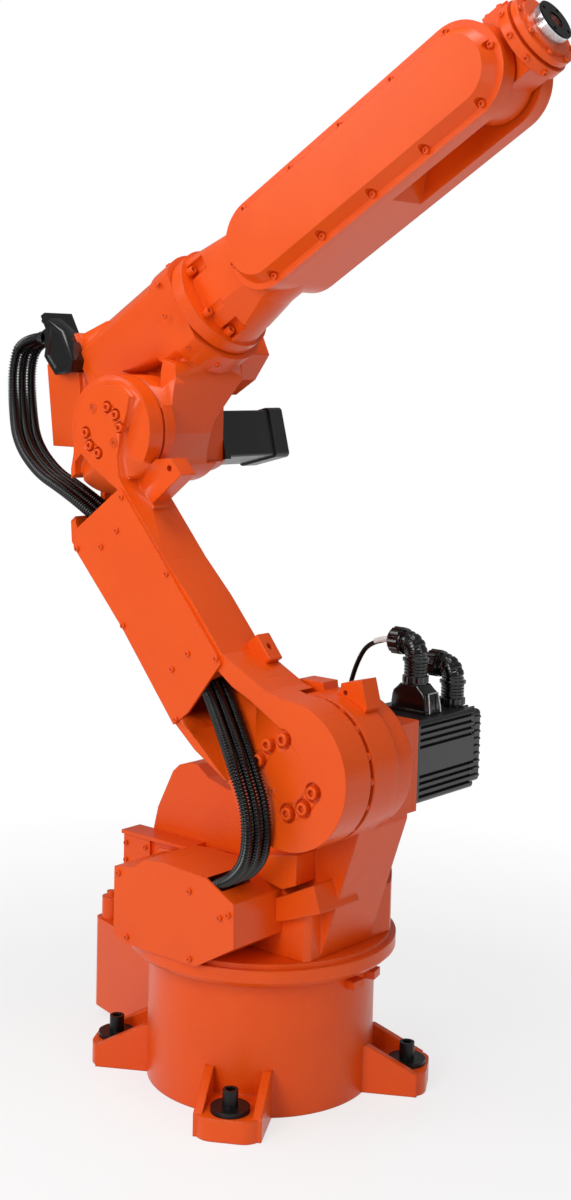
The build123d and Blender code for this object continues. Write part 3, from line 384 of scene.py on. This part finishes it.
# %% [markdown]
# ## Ridged hoses
# Two bundles of three corrugated conduits carry the cables past the shoulder and past the elbow.
# Each conduit follows one smooth curve. A curve with a bevel would be a plain tube, so the curve
# is only read for its line, and rings are set along that line with a radius that rises and falls
# every 5 mm, as the real ridges do. The rings stand square to the line and are carried from one
# to the next without twist.

# %% Lines of the hoses
CONDUIT = 18.5
CONDUIT_PITCH = 21.0
LOWER_ROUTE = [(40, -187, 338), (74, -187, 368), (115, -188, 388), (159, -207, 432), (163, -213, 500),
               (137, -213, 558), (89, -186, 601), (10, -138, 655), (-37, -138, 697), (-77, -138, 731)]
UPPER_ROUTE = [(-463, -46, 1183), (-520, -46, 1180), (-542, -48, 1134), (-524, -60, 1056),
               (-476, -92, 1002), (-393, -122, 958), (-312, -142, 937), (-250, -145, 909),
               (-196, -145, 879), (-156, -145, 841)]
CABLE_ROUTE = [(128, 133, 709), (100, 133, 702), (79, 132, 670), (66, 129, 626), (60, 122, 566),
               (54, 111, 500), (46, 98, 446), (46, 98, 398)]


def line_through(name, places):
    """A smooth curve with these control points, each in the turret's frame."""
    line = bpy.data.curves.new(name, "CURVE")
    line.dimensions = "3D"
    line.resolution_u = 24
    spline = line.splines.new("NURBS")
    spline.points.add(len(places) - 1)
    for point, place in zip(spline.points, places):
        point.co = (*world(TURRET, place), 1.0)
    spline.order_u = 3
    spline.use_endpoint_u = True
    return bpy.data.objects.new(name, line)


def read_line(curve):
    """The points of a curve, from one end to the other."""
    bpy.context.scene.collection.objects.link(curve)
    bpy.context.view_layer.update()
    mesh = bpy.data.meshes.new_from_object(curve)
    points = [v.co.copy() for v in mesh.vertices]
    bpy.data.meshes.remove(mesh)
    bpy.data.objects.remove(curve)
    return points


def along(points, step):
    """Places and directions at even steps along a line."""
    lengths = [0.0]
    for a, b in zip(points, points[1:]):
        lengths.append(lengths[-1] + (b - a).length)
    count = round(lengths[-1] / step)
    found, part = [], 0
    for number in range(count + 1):
        reach = lengths[-1] * number / count
        while part < len(points) - 2 and lengths[part + 1] < reach:
            part += 1
        a, b = points[part], points[part + 1]
        share = (reach - lengths[part]) / (lengths[part + 1] - lengths[part])
        found.append((a.lerp(b, share), (b - a).normalized()))
    return found, lengths[-1]


def tube_rings(stations, reach, sides, side=None):
    """Rings round a line, without twist. reach gives a radius from a ring's number and an angle."""
    side = side or stations[0][1].orthogonal().normalized()
    rings = []
    for number, (middle, ahead) in enumerate(stations):
        side = (side - ahead * side.dot(ahead)).normalized()
        across = ahead.cross(side)
        ring = []
        for k in range(sides):
            angle = 2 * pi * k / sides
            ring.append(middle + (side * cos(angle) + across * sin(angle)) * reach(number, angle))
        rings.append(ring)
    return rings


# %% Six conduits
RIDGE_PITCH = 5.0
RIDGE_SHAPE = (1.0, 0.98, 0.80, 0.70, 0.70, 0.82)
CONDUIT_SIDES = 20


def conduit(name, route, shift):
    places = [(x, y + shift, z) for x, y, z in route]
    centre = read_line(line_through(name + "_line", places))
    stations, measured = along(centre, RIDGE_PITCH * MM / len(RIDGE_SHAPE))
    rings = tube_rings(
        stations, lambda n, angle: CONDUIT / 2 * MM * RIDGE_SHAPE[n % len(RIDGE_SHAPE)], CONDUIT_SIDES)
    made = piece(name + "_ridged", flat(rings), joined(rings), HOSE_BLACK, None, 60)
    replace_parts(made, name)
    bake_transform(made)
    print(name, "line", round(measured * 1000), "mm")


for place, shift in (("near", -CONDUIT_PITCH), ("middle", 0), ("far", CONDUIT_PITCH)):
    conduit("lower_hose_" + place, LOWER_ROUTE, shift)
    conduit("upper_hose_" + place, UPPER_ROUTE, shift)

# %% [markdown]
# ## Motor cable
# A thin black cable hangs from the larger connector behind the shoulder. It is plain, so the
# curve itself is given a round bevel.

# %% Motor cable
CABLE = 8.0
cable = line_through("motor_cable_line", CABLE_ROUTE)
cable.data.bevel_depth = CABLE / 2 * MM
cable.data.bevel_resolution = 5
cable.data.use_fill_caps = True
cable.data.materials.append(HOSE_BLACK)
bpy.context.scene.collection.objects.link(cable)
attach(cable, "turret")
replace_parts(cable, "motor_cable")

# %% [markdown]
# ## Finishes of the solids
# Each solid keeps its shape and gets the finish of its slot in the record.

# %% Materials of the solids
FINISHES = {"orange_paint": ORANGE, "black_steel": BLACKED_STEEL, "black_plastic": BLACK_NYLON,
            "motor_black": MOTOR_BLACK, "bright_steel": FLANGE_STEEL, "black_rubber": HOSE_BLACK}
SAND_CAST = ("turret_casting", "rear_hump", "turntable_ring", "base_casting")
SHEET_METAL = ("junction_box", "junction_box_cover", "rear_terminal_box", "upper_arm_cover",
               "forearm_near_cover", "forearm_far_cover", "base_connector_box")
for part in frame["record"]["subparts"]:
    solid = nodes[part["node"]]
    finish = FINISHES[part["material_slot"]]
    if part["node"] in SAND_CAST:
        finish = ORANGE_ROUGH
    if part["node"] in SHEET_METAL:
        finish = ORANGE_SHEET
    if not solid.material_slots:
        solid.data.materials.append(finish)
    for slot in solid.material_slots:
        slot.material = finish

# %% [markdown]
# ## Two castings, finished
# On the real elbow the wall that faces the tool is flat, and cut away on its far lower side, where
# the motor stands. The lifting lugs of the arm are blocks with square ends. A copy of each casting
# is cut here with prisms, the way a mill would do it, and stands for its node. The lower lug is
# cut off whole and comes back further down as a smaller block.
#
# A cut leaves long thin faces, which would spoil a smooth shading. So every corner's normal
# follows the largest face beside it, which keeps flat walls flat and round ones round.

# %% Recut castings
def prism(rings):
    """A closed prism between two rings of places, to cut with."""
    mesh = bpy.data.meshes.new("cutter")
    mesh.from_pydata(flat(rings), [], joined(rings))
    work = bmesh.new()
    work.from_mesh(mesh)
    bmesh.ops.recalc_face_normals(work, faces=work.faces)
    work.to_mesh(mesh)
    work.free()
    made = bpy.data.objects.new("cutter", mesh)
    bpy.context.scene.collection.objects.link(made)
    return made


def across(link, outline, near, far):
    """A prism along Y. The outline gives X and Z."""
    return prism([[world(link, (x, y, z)) for x, z in outline] for y in (near, far)])


def forward(link, outline, start, end):
    """A prism along X. The outline gives Y and Z."""
    return prism([[world(link, (x, y, z)) for y, z in outline] for x in (start, end)])


def recut(node, body, cutters):
    """A copy of a casting with cuts, in place of its node."""
    mesh = nodes[node].data.copy()
    work = bmesh.new()
    work.from_mesh(mesh)
    bmesh.ops.remove_doubles(work, verts=work.verts, dist=0.000002)
    work.to_mesh(mesh)
    work.free()
    made = bpy.data.objects.new(node + "_machined", mesh)
    bpy.context.scene.collection.objects.link(made)
    for cutter in cutters:
        cut = made.modifiers.new("cut", "BOOLEAN")
        cut.operation = "DIFFERENCE"
        cut.solver = "EXACT"
        cut.object = cutter
    bpy.context.view_layer.update()
    seen = made.evaluated_get(bpy.context.evaluated_depsgraph_get())
    result = bpy.data.meshes.new_from_object(seen)
    made.modifiers.clear()
    made.data = result
    result.materials.clear()
    result.materials.append(ORANGE)
    result.shade_smooth()
    result.set_sharp_from_angle(angle=radians(20))
    shade = made.modifiers.new("shade", "WEIGHTED_NORMAL")
    shade.keep_sharp = True
    shade.weight = 100
    for cutter in cutters:
        bpy.data.objects.remove(cutter)
    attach(made, body)
    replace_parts(made, node)
    print(made.name, "faces", len(result.polygons))


FLAT_WALL = [(84.8, 86.7), (71.4, -4.5), (68, -69), (66, -110), (130, -110), (130, 86.7)]
MOTOR_CORNER = [(62, 85), (5, 15), (-6, -31), (-6, -53), (70, -53), (70, 85)]
LOWER_LUG_CUT = [(2.5, 209), (2.4, 208), (35, 136), (90, 136), (90, 215), (2.5, 215)]
UPPER_LUG_CUT = [(-10, 489), (90, 489), (90, 470), (-10, 470)]
LUG_SIDES = (-150, -100)
recut("elbow_housing", "elbow", [
    across(UPRIGHT, FLAT_WALL, -100, 62), forward(UPRIGHT, MOTOR_CORNER, 45, 130)])
recut("upper_arm_casting", "upper_arm", [
    across(ARM, LOWER_LUG_CUT, *LUG_SIDES), across(ARM, UPPER_LUG_CUT, *LUG_SIDES)])

# %% [markdown]
# ## Socket screws
# Nearly every joint of the arm is held by cap screws with a hexagon socket, painted over with
# the castings. A screw is six rings: the foot, the shoulder, the rim above a small chamfer, the
# mouth of the socket, its lip and its floor. Screws of one group and body are one mesh.

# %% Screws
SCREW_SIDES = 24


def screw_rings(matrix, head, height, socket, depth):
    """One cap screw, from its foot over the head to the floor of the socket."""
    chamfer = head * 0.06
    shape = [(head / 2, 0, False), (head / 2, height - chamfer, False),
             (head / 2 - chamfer, height, False), (socket, height, True),
             (socket * 0.94, height - chamfer, True), (socket * 0.94, height - depth, True)]
    rings = []
    for radius, up, hexagonal in shape:
        ring = []
        for side in range(SCREW_SIDES):
            angle = 2 * pi * side / SCREW_SIDES
            reach = hexagon_radius(radius, angle) if hexagonal else radius
            ring.append(world(matrix, (reach * cos(angle), reach * sin(angle), up)))
        rings.append(ring)
    return rings


def screws(name, body, link, aim, places, head, height, material=None):
    """Cap screws of one size on one body, at places given in its frame."""
    points, faces = [], []
    for place in places:
        rings = screw_rings(aimed(link, place, aim), head, height, head * 0.52, height * 0.55)
        faces += joined(rings, len(points))
        points += flat(rings)
    piece(name, points, faces, material or ORANGE, body)
    print(name, len(places), "screws")


def on_circle(radius, angles, side, ahead=0, up=0):
    """Places on a circle across the near side of a link, at a Y of side."""
    return [(ahead + radius * cos(radians(a)), side, up + radius * sin(radians(a))) for a in angles]


NEAR = (0, -1, 0)
FAR = (0, 1, 0)
AHEAD = (1, 0, 0)
HUB_FACE = -169
screws("shoulder_hub_screws", "upper_arm", ARM, NEAR,
       on_circle(54, (-122.7, -88.7, -54.7, 57.3, 91.3, 125.3), HUB_FACE), 19, 13)
screws("elbow_hub_screws", "upper_arm", ARM, NEAR,
       on_circle(38, (-30.2, 3.3, 36.8, 149.8, 183.3, 216.8), HUB_FACE, 0, ARM_LENGTH), 14, 11)
screws("shoulder_ring_screws", "turret", TURRET, NEAR,
       on_circle(105, (-66, -45.3, -20.9, -0.5, 19.4, 42.6, 62, 81.8, 104, 126), -108,
                 SHOULDER_AHEAD, SHOULDER_HEIGHT), 12.5, 7)
screws("arm_cover_screws", "upper_arm", ARM, NEAR,
       [(x, -181, z) for x, z in ((-25, 514), (-66, 478), (-111, 477), (-158, 505), (-17, 365),
                                  (-145, 351), (-53, 243), (-96, 241), (-8, 207), (-136, 175))], 9, 4)
screws("junction_cover_screws", "turret", TURRET, NEAR,
       [(x, -222, z) for x, z in ((-108, 353), (42, 357), (104, 330), (121, 338), (-88, 255),
                                  (45, 253))], 9, 4)
screws("terminal_box_screws", "turret", TURRET, NEAR,
       [(-203, -110, 359), (-159, -110, 360), (-203, -110, 331)], 8, 4)
for side, aim in ((-65, NEAR), (65, FAR)):
    rows = [(348 + 108 * n - WRIST_REACH, side, up) for n in range(5) for up in (-61, 61)]
    screws("forearm_cover_screws_" + ("near" if side < 0 else "far"), "forearm", WRIST, aim,
           rows + [(61, side, 0), (287 - WRIST_REACH, side, 0)], 10, 6)
screws("forearm_neck_screws", "forearm", FOREARM, AHEAD,
       [(195, -sin(radians(a)) * 74, cos(radians(a)) * 74)
        for b in (12, 54, 117, 154) for a in (b, -b)], 14, 12)
screws("wrist_ring_screws", "wrist", WRIST, AHEAD,
       [(112, -sin(radians(a)) * 51.5, cos(radians(a)) * 51.5) for a in range(15, 375, 45)], 7.5, 4)

# %% [markdown]
# ## Set pins and level plugs
# Beside its screws each hub has a dowel hole with its plug, a shallow ring with a dark hole in
# the middle. Each is turned as one profile: a flat rim, a groove and the hole's mouth.

# %% Turned pieces
def turned(name, body, link, place, aim, profile, material, sides=40):
    """A piece turned about its own axis. The profile lists height, radius and depth of flutes."""
    matrix = aimed(link, place, aim)
    rings = []
    for up, radius, flute in profile:
        ring = []
        for side in range(sides):
            angle = 2 * pi * side / sides
            reach = radius + flute * cos(sides / 4 * angle)
            ring.append(world(matrix, (reach * cos(angle), reach * sin(angle), up)))
        rings.append(ring)
    return piece(name, flat(rings), joined(rings), material, body)


PLUG = [(0, 8.5, 0), (0.8, 8.5, 0), (1.2, 8.0, 0), (1.2, 6.2, 0), (0.5, 6.0, 0), (0.5, 5.0, 0),
        (1.0, 4.8, 0), (1.0, 2.6, 0), (0.2, 2.4, 0)]
for number, (x, z) in enumerate(((-36.6, -5.4), (3.4, 666), (8.3, 595))):
    turned("hub_plug_" + str(number), "upper_arm", ARM, (x, -176, z), NEAR, PLUG, ORANGE)

# %% [markdown]
# ## Cable connectors of the motor
# Two moulded connectors stand on the motor, each an upright body, a quarter bend and a nut that
# points back. On the drawing such a connector is a radius along its middle line: the nuts are
# wider and fluted for the fingers, the bellows between them rise and fall, and the bend is banded.
# So each one is swept as rings along that line. The larger one stands on a hood with a steel latch.

# %% Connectors
def bent_path(place, rise, bend):
    """Places and directions along an upright run, a quarter bend and a level run back."""
    x, y, z = place

    def at(reach):
        if reach <= rise - bend:
            return Vector((x, y, z + reach)), Vector((0, 0, 1))
        turn = min((reach - rise + bend) / bend, pi / 2)
        middle = Vector((x - bend * (1 - cos(turn)), y, z + rise - bend + bend * sin(turn)))
        ahead = Vector((-sin(turn), 0, cos(turn)))
        return middle + ahead * max(0, reach - rise + bend - bend * pi / 2), ahead
    return at


CONNECTOR = [(0, 19, 0), (3, 19, 0), (3, 20.5, 0.8), (13, 20.5, 0.8), (13, 16.5, 0), (16, 16.5, 0)]
for fold in range(4):
    start = 16 + 5.2 * fold
    CONNECTOR += [(start, 18.8, 0), (start + 2.4, 18.8, 0), (start + 3, 16.6, 0), (start + 5, 16.6, 0)]
CONNECTOR += [(37, 16.8, 0), (37, 21.5, 0), (41, 21.5, 0), (41, 18, 0), (46, 18, 0), (47, 16.8, 0)]
for band in range(4):
    start = 49 + 7 * band
    CONNECTOR += [(start, 16.8, 0), (start + 1, 18.2, 0), (start + 4, 18.2, 0), (start + 5, 16.8, 0)]
CONNECTOR += [(78, 17, 0), (78, 21, 0), (81, 21, 0), (81, 19, 0), (83, 19, 0), (83, 21.4, 0.8),
              (100, 21.4, 0.8), (101, 20, 0), (103, 19, 0), (103, 12, 0), (108, 11, 0), (108.7, 7, 0)]


def connector(name, place):
    """A whole connector that stands with its foot at a place of the turret."""
    path = bent_path(place, 65, 17)
    stations = [path(reach) for reach, radius, flute in CONNECTOR]
    rings = tube_rings(stations, lambda n, angle: CONNECTOR[n][1] + CONNECTOR[n][2] * cos(16 * angle),
                       64, Vector((0, 1, 0)))
    points = [world(TURRET, p) for p in flat(rings)]
    return piece(name, points, joined(rings), BLACK_NYLON, "turret")


def rounded_ring(half_x, half_y, corner, up):
    """A rectangle with round corners, as a ring of points at one height."""
    ring = []
    for quarter in range(4):
        ahead = (quarter in (0, 3)) * 2 - 1
        aside = (quarter < 2) * 2 - 1
        for step in range(5):
            angle = radians(90 * quarter + 22.5 * step)
            ring.append((ahead * (half_x - corner) + corner * cos(angle),
                         aside * (half_y - corner) + corner * sin(angle), up))
    return ring


def lofted(name, body, matrix, sections, material):
    """Rounded rectangles one over another. A section is two half widths, a corner and a height."""
    rings = [[world(matrix, p) for p in rounded_ring(*section)] for section in sections]
    return piece(name, flat(rings), joined(rings), material, body)


def wire(name, body, link, places, radius, material):
    """A bent wire with these control points."""
    curve = line_through(name, [TURRET.inverted() @ (link @ Vector(p)) for p in places])
    curve.data.bevel_depth = radius * MM
    curve.data.bevel_resolution = 3
    curve.data.use_fill_caps = True
    curve.data.materials.append(material)
    bpy.context.scene.collection.objects.link(curve)
    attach(curve, body)


hood = lofted("motor_hood", "turret", TURRET @ moved(194, 133, 604), [
    (38, 21, 3, 0), (38, 21, 3, 5), (35, 19.5, 4, 6), (33, 19.5, 5, 26), (31, 19.5, 6, 33),
    (25, 19, 8, 39), (21, 19, 10, 44)], BLACK_NYLON)
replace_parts(hood, "motor_hood_connector")
connector("motor_hood_plug", (194, 133, 648))
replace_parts(connector("motor_round_plug", (210, 215, 604)), "motor_round_connector")
wire("motor_hood_latch", "turret", TURRET, [
    (233, 118, 606), (233, 118, 612), (229, 120, 636), (228, 121, 637), (228, 133, 637),
    (228, 145, 637), (229, 146, 636), (233, 148, 612), (233, 148, 606)], 1.4, CLIP_STEEL)
wire("motor_cable_sleeve", "turret", TURRET, [
    (147, 133, 713), (136, 133, 712.4), (124, 133, 709.6), (113, 133, 705.6)], 5.0, WHITE_SLEEVE)

# %% [markdown]
# ## Lower lifting lug
# The lug is cast on the arm's edge and drilled through its outer face, where a lifting eye screws
# in. It is one loft: the block, a fine chamfer, then the mouth and the walls of the hole.

# %% Lower lifting lug
lofted("arm_lifting_lug", "upper_arm",
       ARM @ moved(1.5, -100, 195.6) @ tipped(90), [
           (23, 15, 2, 0), (23, 15, 2, 27), (22, 14, 2, 28), (5.6, 5.6, 5.5, 28),
           (5.2, 5.2, 5.1, 27.4), (5.2, 5.2, 5.1, 18)], ORANGE_ROUGH)

# %% [markdown]
# ## Hood round the exit of the hoses
# At the corner of the elbow's back box a black moulded hood shields the hoses where they leave
# their connector. It is an outline of six corners, drawn across the robot. The rings near its
# outer face shrink towards its middle, which gives it a bevel and a sunk panel.

# %% Hood round the exit of the hoses
HOOD_OUTLINE = [(-414, 1215), (-380, 1195), (-351, 1146), (-356, 1126), (-398, 1120), (-425, 1150)]
HOOD_MIDDLE = (-387, 1162)
HOOD_RINGS = [(-72, 0.93), (-75, 1.0), (-100, 1.0), (-104, 0.93), (-104, 0.74), (-101, 0.70)]
hood_rings = [[world(TURRET, (HOOD_MIDDLE[0] + (x - HOOD_MIDDLE[0]) * part, y,
                              HOOD_MIDDLE[1] + (z - HOOD_MIDDLE[1]) * part))
               for x, z in HOOD_OUTLINE] for y, part in HOOD_RINGS]
piece("hose_exit_hood", flat(hood_rings), joined(hood_rings), BLACK_NYLON, "elbow")

# %% [markdown]
# ## Ends of the motors
# The shoulder motor's end cap is a die casting with cooling ribs all round and a screw at each
# corner. The elbow motor's cap is plain, with a screw at each corner too.

# %% Ribs and screws of the motors
def bars(name, body, matrix, boxes, material):
    """Ribs in one mesh, each with its long edges chamfered. A box is a middle and three sizes."""
    points, faces = [], []
    for middle, size in boxes:
        half = [side / 2 for side in size]
        chamfer = min(half) * 0.35
        rings = []
        for up, shrink in ((-half[2], chamfer), (-half[2] + chamfer, 0), (half[2] - chamfer, 0),
                           (half[2], chamfer)):
            wide, deep = half[0] - shrink, half[1] - shrink
            outline = [(wide, deep - chamfer), (wide - chamfer, deep), (chamfer - wide, deep),
                       (-wide, deep - chamfer), (-wide, chamfer - deep), (chamfer - wide, -deep),
                       (wide - chamfer, -deep), (wide, chamfer - deep)]
            rings.append([world(matrix, Vector(middle) + Vector((x, y, up))) for x, y in outline])
        faces += joined(rings, len(points))
        points += flat(rings)
    piece(name, points, faces, material, body)


CAP = TURRET @ moved(SHOULDER_AHEAD, 0, 539)
ribs = []
for number in range(-4, 5):
    for side in (-1, 1):
        ribs.append(((side * 60.5, 234.5, 12 * number), (5, 19, 4)))
        ribs.append(((12 * number, 234.5, side * 60.5), (4, 19, 5)))
bars("shoulder_motor_cap_ribs", "turret", CAP, ribs, MOTOR_BLACK)
screws("shoulder_motor_cap_screws", "turret", CAP, FAR,
       [(x, 246, z) for x in (-50, 50) for z in (-50, 50)], 10, 1, BLACKED_STEEL)
ELBOW_MOTOR = UPRIGHT @ moved(0, 0, -19) @ tipped(-15)
screws("elbow_motor_cap_screws", "elbow", ELBOW_MOTOR, FAR,
       [(x, 225, z) for x in (-35, 35) for z in (-35, 35)], 7, 1, BLACKED_STEEL)

# %% [markdown]
# ## Where the upper hoses start
# The hoses leave the elbow housing through a plate at its back. Each hose is held by a collar, and
# the plate by four screws.

# %% Collars and screws of the hose connector
for number, shift in enumerate((-CONDUIT_PITCH, 0, CONDUIT_PITCH)):
    turned("hose_collar_" + str(number), "elbow", TURRET, (-461, -46 + shift, 1183), (-1, 0, 0),
           [(0, 8, 0), (0, 10.3, 0), (4, 10.3, 0), (4, 9.8, 0), (6, 9.8, 0), (6, 10.3, 0), (10, 10.3, 0),
            (11, 9.4, 0)], BLACK_NYLON)
HOSE_PLATE = TURRET @ moved(-463, -44, 1183) @ tipped(-30) @ moved(0, 0, -24)
screws("hose_plate_screws", "elbow", HOSE_PLATE, (-1, 0, 0),
       [(18, y, z) for y in (-24, 24) for z in (-48, 48)], 10, 6, BLACK_NYLON)

# %% [markdown]
# ## Screws that point outwards
# The roll housing, the wrist's ring and its cover have screws that stand out from round or upper
# faces, so each points its own way.

# %% Radial screws
for number, a in enumerate((-14, 22, 58, 94, 130, 166)):
    away = (0, -sin(radians(a)), cos(radians(a)))
    screws("roll_housing_screw_" + str(number), "elbow", FOREARM, away,
           [(146, away[1] * 98.6, away[2] * 98.6)], 9, 3)
    screws("wrist_side_screw_" + str(number), "wrist", WRIST, away,
           [(88.5, away[1] * 59, away[2] * 59)], 9, 5)
screws("wrist_cover_screws", "wrist", WRIST, (0, 0, 1),
       [(x, y, 66) for x in (51, 73) for y in (-11, 11)], 7, 3.5)

# %% [markdown]
# ## Studio
# The background is plain white and the floor pale, with the soft shadow of the feet. The floor
# shows itself as nearly white to the camera, by its own light there, while it stays an ordinary
# pale surface for the light that falls on the robot.

# %% Floor
def floor_material():
    material, tree, output, place = started("pale_studio_floor")
    seen = add(tree, "ShaderNodeLightPath")
    paint = add(tree, "ShaderNodeBsdfPrincipled", {
        "Base Color": linear("#EDEDED"), "Roughness": 0.16, "IOR": 1.45})
    glow = add(tree, "ShaderNodeEmission", {"Color": (1, 1, 1, 1), "Strength": 1.0})
    bright = add(tree, "ShaderNodeMixShader", {
        0: 0.72, 1: paint.outputs["BSDF"], 2: glow.outputs["Emission"]})
    away = add(tree, "ShaderNodeVectorMath", {0: place}, operation="LENGTH")
    fade = add(tree, "ShaderNodeMapRange", {
        "Value": away.outputs["Value"], "From Min": 0.7, "From Max": 1.6})
    near_far = add(tree, "ShaderNodeMixShader", {
        0: fade.outputs["Result"], 1: bright.outputs["Shader"], 2: glow.outputs["Emission"]})
    camera_sees = add(tree, "ShaderNodeMath", {
        0: seen.outputs["Is Camera Ray"], 1: seen.outputs["Is Glossy Ray"]}, operation="MAXIMUM")
    shown = add(tree, "ShaderNodeMixShader", {
        0: camera_sees.outputs["Value"], 1: paint.outputs["BSDF"], 2: near_far.outputs["Shader"]})
    tree.links.new(shown.outputs["Shader"], output.inputs["Surface"])
    return material


FLOOR_HALF = 12.0
corners = [(-FLOOR_HALF, -FLOOR_HALF, 0), (FLOOR_HALF, -FLOOR_HALF, 0),
           (FLOOR_HALF, FLOOR_HALF, 0), (-FLOOR_HALF, FLOOR_HALF, 0)]
floor = piece("studio_floor", corners, [(0, 1, 2, 3)], floor_material(), None)
floor.location.z = -0.0005

# %% World and lamps
world_light = bpy.data.worlds.new("studio")
bpy.context.scene.world = world_light
world_light.use_nodes = True
sky = world_light.node_tree
sky.nodes.clear()
path = add(sky, "ShaderNodeLightPath")
soft = add(sky, "ShaderNodeBackground", {"Color": (1, 1, 1, 1), "Strength": 0.30})
white = add(sky, "ShaderNodeBackground", {"Color": (1, 1, 1, 1), "Strength": 1.0})
direct = add(sky, "ShaderNodeMath", {
    0: path.outputs["Is Camera Ray"], 1: path.outputs["Is Transmission Ray"]}, operation="MAXIMUM")
chosen = add(sky, "ShaderNodeMixShader", {
    0: direct.outputs["Value"], 1: soft.outputs["Background"], 2: white.outputs["Background"]})
add(sky, "ShaderNodeOutputWorld", {"Surface": chosen.outputs["Shader"]})


def lamp(name, place, target, width, height, watts):
    """A softbox that faces a place on the robot."""
    light = bpy.data.lights.new(name, "AREA")
    light.shape = "RECTANGLE"
    light.size, light.size_y = width, height
    light.energy = watts
    made = bpy.data.objects.new(name, light)
    made.location = place
    made.rotation_euler = (Vector(target) - Vector(place)).to_track_quat("-Z", "Y").to_euler()
    bpy.context.scene.collection.objects.link(made)


lamp("key_softbox", (1.3, -2.9, 1.9), (0, 0, 0.8), 1.2, 2.4, 60)
lamp("gloss_softbox", (-1.3, -2.7, 2.45), (0, 0, 1.3), 1.1, 1.3, 24)
lamp("fill_softbox", (3.2, 0.9, 1.3), (0, 0, 0.7), 0.8, 2.2, 12)
lamp("top_softbox", (0.3, -0.2, 3.6), (0, 0, 0.9), 1.6, 1.6, 42)
bpy.context.scene.view_settings.view_transform = "Standard"
